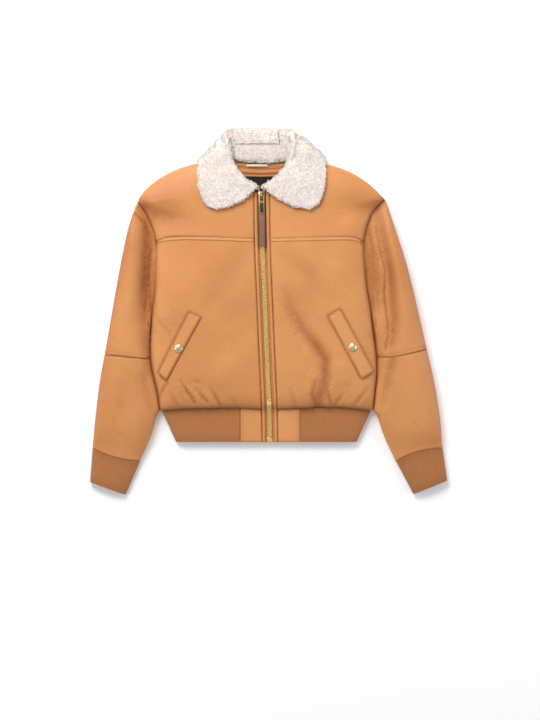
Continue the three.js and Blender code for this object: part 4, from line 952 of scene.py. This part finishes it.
lappedSeams = [
    lapped(
        "yoke_seam_right", ["front_right", "yoke_right"], (0.01, 0.204), 0.0015,
        [(-218, 134), (-200, 139.5), (-163, 142), (-75, 139.7), (-28.6, 137.5)],
    ),
    lapped(
        "yoke_seam_left", ["front_left", "yoke_left"], (0.01, 0.181), 0.0013,
        [(2.4, 138.4), (71, 139.9), (150, 141.6), (168, 140.2), (182, 134)],
    ),
    lapped(
        "elbow_seam_right", ["sleeve_upper_right", "sleeve_lower_right"], (0.01, 0.088), 0.00064,
        [(-319.5, -80.6), (-290, -83.2), (-262, -86.4), (-233, -90)],
    ),
    lapped(
        "elbow_seam_left", ["sleeve_upper_left", "sleeve_lower_left"], (0.01, 0.098), 0.00071,
        [(307.5, -69.5), (290, -74.6), (262, -82), (240, -85.6), (212, -87)],
    ),
]
seams = {"width": 7.2, "rise": 0.9}
for row in lappedSeams:
    piece = layStrip(row["name"], row["line"], seams["width"], seams["rise"], groundUnder(row["over"]))
    pieces[row["name"]] = piece
print("lapped seams made")


# geometry nodes that set one small solid at each step of a line, upright on the cloth
def geometryTree(name, inputs):
    tree = bpy.data.node_groups.new(name, "GeometryNodeTree")
    tree.interface.new_socket("Geometry", in_out="INPUT", socket_type="NodeSocketGeometry")
    for label, kind in inputs.items():
        tree.interface.new_socket(label, in_out="INPUT", socket_type="NodeSocket" + kind)
    tree.interface.new_socket("Geometry", in_out="OUTPUT", socket_type="NodeSocketGeometry")
    return tree, tree.nodes.new("NodeGroupInput").outputs, tree.nodes.new("NodeGroupOutput")


def runTree(piece, tree, values):
    modifier = piece.modifiers.new(tree.name, "NODES")
    modifier.node_group = tree
    for item in tree.interface.items_tree:
        if item.item_type == "SOCKET" and item.in_out == "INPUT" and item.name in values:
            modifier[item.identifier] = values[item.name]
    return settle(piece)


def aligned(tree, axis, vector, **more):
    settings = {"axis": axis, **({"pivot_axis": "X"} if more else {})}
    made = addNode(tree, "FunctionNodeAlignRotationToVector", {"Vector": vector, **more}, **settings)
    return made.outputs[0]


def setAlong(tree, given, solid):
    curve = addNode(tree, "GeometryNodeMeshToCurve", {"Mesh": given["Geometry"]})
    steps = {"Curve": curve.outputs[0], "Length": given["Pitch"]}
    spaced = addNode(tree, "GeometryNodeResampleCurve", steps, mode="LENGTH")
    up = addNode(tree, "GeometryNodeInputNamedAttribute", {"Name": "up"}, data_type="FLOAT_VECTOR")
    along = aligned(tree, "X", addNode(tree, "GeometryNodeInputTangent").outputs[0])
    upright = aligned(tree, "Z", up.outputs[0], Rotation=along)
    placing = {"Points": spaced.outputs[0], "Instance": solid, "Rotation": upright}
    placed = addNode(tree, "GeometryNodeInstanceOnPoints", placing)
    return addNode(tree, "GeometryNodeRealizeInstances", {0: placed.outputs[0]}).outputs[0]


def finishTree(tree, given, result, geometry, smooth=True):
    if smooth:
        geometry = addNode(tree, "GeometryNodeSetShadeSmooth", {0: geometry}).outputs[0]
    done = addNode(tree, "GeometryNodeSetMaterial", {"Geometry": geometry, "Material": given["Material"]})
    tree.links.new(done.outputs[0], result.inputs[0])
    return tree


def newLine(name, vertices, edges, ups):
    mesh = bpy.data.meshes.new(name)
    mesh.from_pydata(vertices, edges, [])
    mesh.attributes.new("up", "FLOAT_VECTOR", "POINT").data.foreach_set("vector", ups)
    return newPiece(name, mesh)


# topstitching
def makeStitchTree():
    inputs = {"Pitch": "Float", "Length": "Float", "Thickness": "Float", "Material": "Material"}
    tree, given, result = geometryTree("topstitch", inputs)
    ball = addNode(tree, "GeometryNodeMeshUVSphere", {"Segments": 6, "Rings": 5, "Radius": 0.5})
    size = {0: given["Length"], 1: given["Thickness"], 2: given["Thickness"]}
    size = addNode(tree, "ShaderNodeCombineXYZ", size)
    stitch = addNode(tree, "GeometryNodeTransform", {"Geometry": ball.outputs[0], "Scale": size.outputs[0]})
    return finishTree(tree, given, result, setAlong(tree, given, stitch.outputs[0]))


stitchTree = makeStitchTree()
allGround = groundUnder([n for n in pieces if n not in ("back", "rib_back")])


def stitchRows(name, rows, settings, material, tree=allGround, body="jacket"):
    vertices, edges, ups = [], [], []
    for line in rows:
        fallback = level
        for k, spot in enumerate(rounded(line, 2.5, 2)):
            fallback = dropOnto(tree, spot[0], spot[1], fallback)
            if k:
                edges.append((len(vertices) - 1, len(vertices)))
            vertices.append((spot[0] * mm, spot[1] * mm, (fallback[0] + settings["lift"]) * mm))
            ups.extend(fallback[1])
    piece = newLine(name, vertices, edges, ups)
    sizes = {"Pitch": settings["pitch"] * mm, "Length": settings["length"] * mm}
    runTree(piece, stitchTree, {**sizes, "Thickness": settings["thick"] * mm, "Material": material})
    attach(piece, body)
    return piece


def shifted(line, by):
    # the same line, moved sideways
    points = [np.array(p, float) for p in line]
    return [here + leftOf(points, k) * by for k, here in enumerate(points)]


def insetSides(corners, by):
    # the four sides of a smaller welt outline
    corners = [np.array(c, float) for c in corners]
    loop = []
    for k, here in enumerate(corners):
        one, two = corners[k - 1] - here, corners[(k + 1) % 4] - here
        one, two = one / np.linalg.norm(one), two / np.linalg.norm(two)
        loop.append(here + (one + two) * by / max(0.3, abs(one[0] * two[1] - one[1] * two[0])))
    return list(zip(loop, loop[1:] + loop[:1]))


zipLine = [(-13.8, 236), (-13.0, 170), (-11.8, 108), (-9.0, 53), (-3.8, -74), (1.2, -189), (2.4, -254)]
stitching = {"pitch": 3.4, "length": 2.7, "thick": 0.85, "lift": 0.05}
stitchInset = {"seam": 0.5, "placket": 16.6, "welt": 2.6}
tabStitches = [[(-50.5, -193), (-50.5, -253)], [(55.5, -193), (55.5, -253)]]
rows = []
for row in lappedSeams:
    for sign in (1, -1):
        rows.append(shifted(row["line"], sign * (seams["width"] / 2 - stitchInset["seam"])))
rows.append(shifted(zipLine, stitchInset["placket"]))
rows.append(shifted(zipLine, -stitchInset["placket"]))
for side in ("right", "left"):
    rows.extend(insetSides(weltCorners[side], stitchInset["welt"]))
stitchRows("topstitching", rows + tabStitches, stitching, thread)
print("topstitching made")


# zip teeth: local x runs along the chain, y from the tape to the middle, z up
zipTeeth = {
    "pitch": 2.6,
    "length": 2.25,
    "thick": 2.6,
    "bevel": 0.32,
    "foot": [(-1, -4.6), (1, -4.6), (1, -1.0)],
    "head": [(0.62, -0.4), (0.7, 0.35), (-0.7, 0.35), (-0.62, -0.4), (-1, -1.0)],
    "ends": (-245.5, 245),
    "inside": 2.5,
}


def makeToothTree():
    inputs = {"Pitch": "Float", "Tooth": "Object", "Material": "Material"}
    tree, given, result = geometryTree("zipTeeth", inputs)
    tooth = addNode(tree, "GeometryNodeObjectInfo", {"Object": given["Tooth"]})
    return finishTree(tree, given, result, setAlong(tree, given, tooth.outputs["Geometry"]), False)


def makeTooth():
    half, tall = zipTeeth["length"] / 2, zipTeeth["thick"]
    body = bmesh.new()
    outline = zipTeeth["foot"] + zipTeeth["head"]
    outline = [body.verts.new((x * half * mm, y * mm, -tall / 2 * mm)) for x, y in outline]
    grown = bmesh.ops.extrude_face_region(body, geom=[body.faces.new(outline)])
    raised = [v for v in grown["geom"] if isinstance(v, bmesh.types.BMVert)]
    bmesh.ops.translate(body, vec=(0, 0, tall * mm), verts=raised)
    bmesh.ops.recalc_face_normals(body, faces=body.faces)
    rim = [e for e in body.edges if e.verts[0].co.z > 0 and e.verts[1].co.z > 0]
    bmesh.ops.bevel(body, geom=rim, offset=zipTeeth["bevel"] * mm, segments=1, affect="EDGES")
    return finishMesh(body, "tooth", False)


tooth = makeTooth()
toothTree = makeToothTree()
for side, sign in (("right", 1), ("left", -1)):
    node = "zip_teeth_" + side
    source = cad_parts[node].data
    strip = BVHTree.FromPolygons([v.co for v in source.vertices], [list(p.vertices) for p in source.polygons])
    # the two rows part inside the slider, and each runs with its teeth towards the middle
    line = [(-13.9 - sign * 4.4, 246), (-13.9 - sign * 2.4, 233), (-13.6, 214)] + zipLine[1:]
    if sign < 0:
        line.reverse()
    low, high = zipTeeth["ends"]
    trimmed = [p for p in rounded(line, 1.3, 8) if low < p[1] < high]
    if sign < 0:
        trimmed = trimmed[1:]
    vertices, fallback = [], level
    for spot in trimmed:
        fallback = dropOnto(strip, spot[0] - zipTeeth["inside"] * sign, spot[1], fallback)
        vertices.append((spot[0] * mm, spot[1] * mm, (fallback[0] - zipTeeth["thick"] / 2) * mm))
    edges = [(k, k + 1) for k in range(len(vertices) - 1)]
    piece = newLine("chain_" + side, vertices, edges, [0, 0, 1] * len(vertices))
    runTree(piece, toothTree, {"Pitch": zipTeeth["pitch"] * mm, "Tooth": tooth, "Material": brass})
    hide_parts(node)
    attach(piece, "jacket")
    pieces[node] = piece
bpy.data.objects.remove(tooth)
print("zip teeth made")


# slider, box, pull and strap
def bevelCopy(nodeName, pieceName, width, material, body):
    rough = bmesh.new()
    rough.from_mesh(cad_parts[nodeName].data)
    bmesh.ops.remove_doubles(rough, verts=rough.verts, dist=0.01 * mm)
    bmesh.ops.dissolve_limit(rough, angle_limit=math.radians(3), verts=rough.verts, edges=rough.edges)
    piece = finishMesh(rough, pieceName)
    bevel = piece.modifiers.new("bevel", "BEVEL")
    bevel.width = width * mm
    bevel.segments = 3
    bevel.limit_method = "ANGLE"
    bevel.angle_limit = math.radians(28)
    settle(piece)
    sharpVertices(piece.data, 50)
    dress(piece, material)
    writePlain(piece.data)
    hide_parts(nodeName)
    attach(piece, body)
    pieces[nodeName] = piece
    return piece


bevelCopy("zip_slider", "slider", 0.5, agedBrass, "jacket")
bevelCopy("zip_box", "box_end", 0.5, brass, "jacket")
bevelCopy("zip_pull", "pull_plate", 0.4, agedBrass, "pull")
strap = bevelCopy("pull_strap", "pull_leather", 0.7, strapLeather, "pull")

strapStitch = {"pitch": 2.1, "length": 1.9, "thick": 0.9, "lift": 0.0}
strapRows = [
    [(-18.6, 169.5), (-7.8, 169.4)],
    [(-18.2, 144.6), (-7.4, 144.5)],
    [(-17.8, 130), (-18.6, 183)],
    [(-7.1, 130), (-7.9, 183)],
]
stitchRows("strap_stitching", strapRows, strapStitch, strapThread, groundUnder(["pull_strap"]), "pull")

inlay = {
    "corners": [(-16.8, 211), (-10.6, 211), (-10.4, 192), (-16.6, 192)],
    "heights": (0.1, 0.3),
    "plateTop": 34,
}


def makeInlay(look, ground):
    # a dark panel let into the pull's plate
    panel = bmesh.new()
    layers = []
    for up in look["heights"]:
        layer = []
        for x, y in look["corners"]:
            height = dropOnto(ground, x, y, (look["plateTop"], Vector((0, 0, 1))))[0]
            layer.append(panel.verts.new((x * mm, y * mm, (height + up) * mm)))
        layers.append(layer)
    low, top = layers
    panel.faces.new(top)
    panel.faces.new(low)
    for k in range(4):
        panel.faces.new((low[k], low[(k + 1) % 4], top[(k + 1) % 4], top[k]))
    bmesh.ops.recalc_face_normals(panel, faces=panel.faces)
    piece = dress(finishMesh(panel, "pull_inlay", False), darkBrass)
    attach(piece, "pull")


makeInlay(inlay, groundUnder(["zip_pull"]))

# press studs: radius and height of each ring, turned about the stud's own middle
studShape = [(0.0, 2.9), (2.2, 2.82), (4.4, 2.5), (6.0, 1.95), (6.7, 1.45), (7.0, 1.5), (7.6, 1.35)]
studShape += [(8.0, 0.8), (8.0, 0.1), (7.4, 0.0), (0.0, 0.0)]
studSides = 40


def makeStud(node, name):
    low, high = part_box(node)
    x, y = (low.x + high.x) / 2, (low.y + high.y) / 2
    turned, rings = bmesh.new(), []
    for radius, height in studShape:
        angles = [2 * math.pi * k / studSides for k in range(studSides if radius else 1)]
        out = radius * mm
        spots = [(x + out * math.cos(a), y + out * math.sin(a), low.z + height * mm) for a in angles]
        rings.append([turned.verts.new(spot) for spot in spots])
    for one, two in zip(rings, rings[1:]):
        for k in range(studSides):
            n = (k + 1) % studSides
            corners = [one[k % len(one)], two[k % len(two)], two[n % len(two)], one[n % len(one)]]
            turned.faces.new(list(dict.fromkeys(corners)))
    bmesh.ops.recalc_face_normals(turned, faces=turned.faces)
    piece = finishMesh(turned, name)
    sharpVertices(piece.data, 50)
    dress(piece, paleBrass)
    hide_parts(node)
    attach(piece, "jacket")


makeStud("stud_right", "snap_right")
makeStud("stud_left", "snap_left")
print("metal made")


# pile collar: a lumpy ground cloth and thousands of small curls
pile = {"spacing": 2.3, "rimSpacing": 3.1, "rimSize": 1.75, "patchSpacing": 1.7, "most": 260000, "seed": 11}
yarnCurl = {"radius": 1.5, "thick": 0.55, "turns": 1.15, "steps": 9, "from": -0.9, "rise": 2.2}
curlPlaced = {"lean": 0.7, "turn": 6.28, "least": 0.7, "most": 1.25}
lumps = {"broadMm": 7.5, "fineMm": 3.1, "fine": 0.6, "atRim": 2.2, "fromFloor": (1.5, 6), "rim": (0.3, 0.9)}


def makeCurl():
    # one and a bit turns of yarn, a three-sided tube that narrows
    rings = []
    for k in range(yarnCurl["steps"] + 1):
        t = k / yarnCurl["steps"]
        angle = t * yarnCurl["turns"] * 2 * math.pi
        radius = yarnCurl["radius"] * (1 - 0.35 * t)
        height = yarnCurl["from"] + yarnCurl["rise"] * t
        centre = Vector((math.cos(angle) * radius, math.sin(angle) * radius, height))
        out = Vector((math.cos(angle), math.sin(angle), 0))
        thick = yarnCurl["thick"] * (1.1 - 0.5 * t)
        sides = [out * math.cos(a) + Vector((0, 0, 1)) * math.sin(a) for a in (0, 2.1, 4.2)]
        rings.append([centre + side * thick for side in sides])
    body = bmesh.new()
    made = [[body.verts.new(p * mm) for p in ring] for ring in rings]
    for one, two in zip(made, made[1:]):
        for k in range(3):
            body.faces.new((one[k], one[(k + 1) % 3], two[(k + 1) % 3], two[k]))
    body.faces.new(made[0])
    body.faces.new(made[-1])
    bmesh.ops.recalc_face_normals(body, faces=body.faces)
    return finishMesh(body, "curl", False)


def makePileTree():
    inputs = {"Spacing": "Float", "Seed": "Int", "Size": "Float", "Curl": "Object", "Material": "Material"}
    tree, given, result = geometryTree("pileCurls", inputs)
    where = addNode(tree, "GeometryNodeInputNamedAttribute", {"Name": "pile"}, data_type="FLOAT")
    whether = {0: where.outputs[0], 1: 0.5}
    chosen = addNode(tree, "FunctionNodeCompare", whether, data_type="FLOAT", operation="GREATER_THAN")
    spreading = {
        "Mesh": given["Geometry"],
        "Selection": chosen.outputs[0],
        "Distance Min": given["Spacing"],
        "Density Max": pile["most"],
        "Seed": given["Seed"],
    }
    spread = addNode(tree, "GeometryNodeDistributePointsOnFaces", spreading, distribute_method="POISSON")
    curl = addNode(tree, "GeometryNodeObjectInfo", {"Object": given["Curl"]})
    most = curlPlaced["lean"]
    lean = {0: (-most, -most, 0), 1: (most, most, curlPlaced["turn"]), "Seed": 3}
    lean = addNode(tree, "FunctionNodeRandomValue", lean, data_type="FLOAT_VECTOR")
    turn = addNode(tree, "FunctionNodeEulerToRotation", {0: lean.outputs[0]})
    full = {0: spread.outputs["Rotation"], 1: turn.outputs[0]}
    full = addNode(tree, "FunctionNodeRotateRotation", full, rotation_space="LOCAL")
    size = {2: curlPlaced["least"], 3: curlPlaced["most"], "Seed": 5}
    size = addNode(tree, "FunctionNodeRandomValue", size, data_type="FLOAT")
    placing = {
        "Points": spread.outputs["Points"],
        "Instance": curl.outputs["Geometry"],
        "Rotation": full.outputs[0],
        "Scale": multiplied(tree, size.outputs[1], given["Size"]),
    }
    placed = addNode(tree, "GeometryNodeInstanceOnPoints", placing)
    tone = addNode(tree, "FunctionNodeRandomValue", {"Seed": 8}, data_type="FLOAT")
    toned = {"Geometry": placed.outputs[0], "Name": "tone", "Value": tone.outputs[1]}
    toned = addNode(tree, "GeometryNodeStoreNamedAttribute", toned, data_type="FLOAT", domain="INSTANCE")
    real = addNode(tree, "GeometryNodeRealizeInstances", {0: toned.outputs[0]})
    return finishTree(tree, given, result, real.outputs[0])


pileTree = makePileTree()
curl = makeCurl()


def makeGround(node, name, levels, shrink, lumpy, sink=0):
    piece = clothCopy(node, name, levels, 80)
    print(name, len(piece.data.vertices), "vertices")
    points, normals = readPoints(piece.data), readNormals(piece.data)
    free = soften(points[:, 2], *lumps["fromFloor"])
    broad = np.array([noise.noise(Vector(p) / lumps["broadMm"]) for p in points])
    fine = np.array([noise.noise(Vector(p) / lumps["fineMm"]) for p in points])
    lump = broad + lumps["fine"] * fine
    rim = 1 - soften(np.abs(normals[:, 2]), *lumps["rim"])
    points += normals * ((lump * lumpy * (1 + lumps["atRim"] * rim) - shrink) * free)[:, None]
    points[:, 2] -= sink
    writePoints(piece.data, points)
    writeValue(piece.data, "shade", np.zeros(len(points)))
    dress(piece, pileGround)
    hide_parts(node)
    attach(piece, "jacket")
    pieces[node] = piece
    return piece


def growCurls(host, name, keep, spacing, seed, size=1.0):
    mesh = host.data.copy()
    writeValue(mesh, "pile", keep(readPoints(mesh), readNormals(mesh)).astype(float))
    piece = newPiece(name, mesh)
    values = {"Spacing": spacing * mm, "Seed": seed, "Size": size, "Curl": curl, "Material": pileCurl}
    runTree(piece, pileTree, values)
    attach(piece, "jacket")
    print(name, len(piece.data.polygons), "faces")
    return piece


# where the pile is seen: not low down, and not under the patch
collarParts = {"middle": -11, "patchFrom": -62, "patchTo": 14, "patchLow": 331}


def shown(points, normals):
    inside = (points[:, 0] > collarParts["patchFrom"]) & (points[:, 0] < collarParts["patchTo"])
    under = inside & (points[:, 1] > collarParts["patchLow"]) & (normals[:, 2] > 0.5)
    return (normals[:, 2] > -0.2) & (points[:, 2] > 3) & ~under


def onRight(points, normals):
    return shown(points, normals) & (points[:, 0] < collarParts["middle"])


def onLeft(points, normals):
    return shown(points, normals) & (points[:, 0] >= collarParts["middle"])


def onRim(points, normals):
    return (np.abs(normals[:, 2]) < 0.8) & (points[:, 2] > 2.5)


def onTop(points, normals):
    return normals[:, 2] > 0.1


collar = makeGround("collar", "collar_pile_cloth", 2, 1.7, 0.8)
curlsRight = growCurls(collar, "collar_curls_right", onRight, pile["spacing"], pile["seed"])
curlsLeft = growCurls(collar, "collar_curls_left", onLeft, pile["spacing"], pile["seed"] + 1)
rimCurls = growCurls(collar, "collar_curls_rim", onRim, pile["rimSpacing"], pile["seed"] + 5, pile["rimSize"])
patch = makeGround("collar_patch", "collar_patch_cloth", 4, 0.6, 0.4, 1.8)
patchCurls = growCurls(patch, "collar_patch_curls", onTop, pile["patchSpacing"], pile["seed"] + 2)
patchStitch = {"pitch": 2.4, "length": 2.2, "thick": 0.7, "lift": 2.2}
patchRows = [
    [(-66, 329), (-67.5, 342), (-70, 354)],
    [(-66, 328), (21, 328)],
    [(21, 329), (19.5, 342), (17, 354)],
]
stitchRows("patch_stitching", patchRows, patchStitch, patchThread, groundUnder(["collar"]))
bpy.data.objects.remove(curl)
print("pile made")


# floor, in metres but for its drop
floorLook = {"half": 4.0, "drop": 0.6, "colour": (0.97, 0.97, 0.97), "roughness": 0.9, "glow": 0.1}
glowing = {"Emission_Strength": floorLook["glow"], "Emission_Color": (1, 1, 1, 1)}
paper = freshMaterial("pale_paper", floorLook["colour"], floorLook["roughness"], **glowing)[0]
floorMesh = bpy.data.meshes.new("floor")
h, z = floorLook["half"], -floorLook["drop"] * mm
floorMesh.from_pydata([(-h, -h, z), (h, -h, z), (h, h, z), (-h, h, z)], [], [(0, 1, 2, 3)])
floorMesh.materials.append(paper)
floor = newPiece("floor", floorMesh)
floor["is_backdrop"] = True

total = 0
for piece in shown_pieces():
    piece.data.calc_loop_triangles()
    total += len(piece.data.loop_triangles)
print("triangles shown:", total)
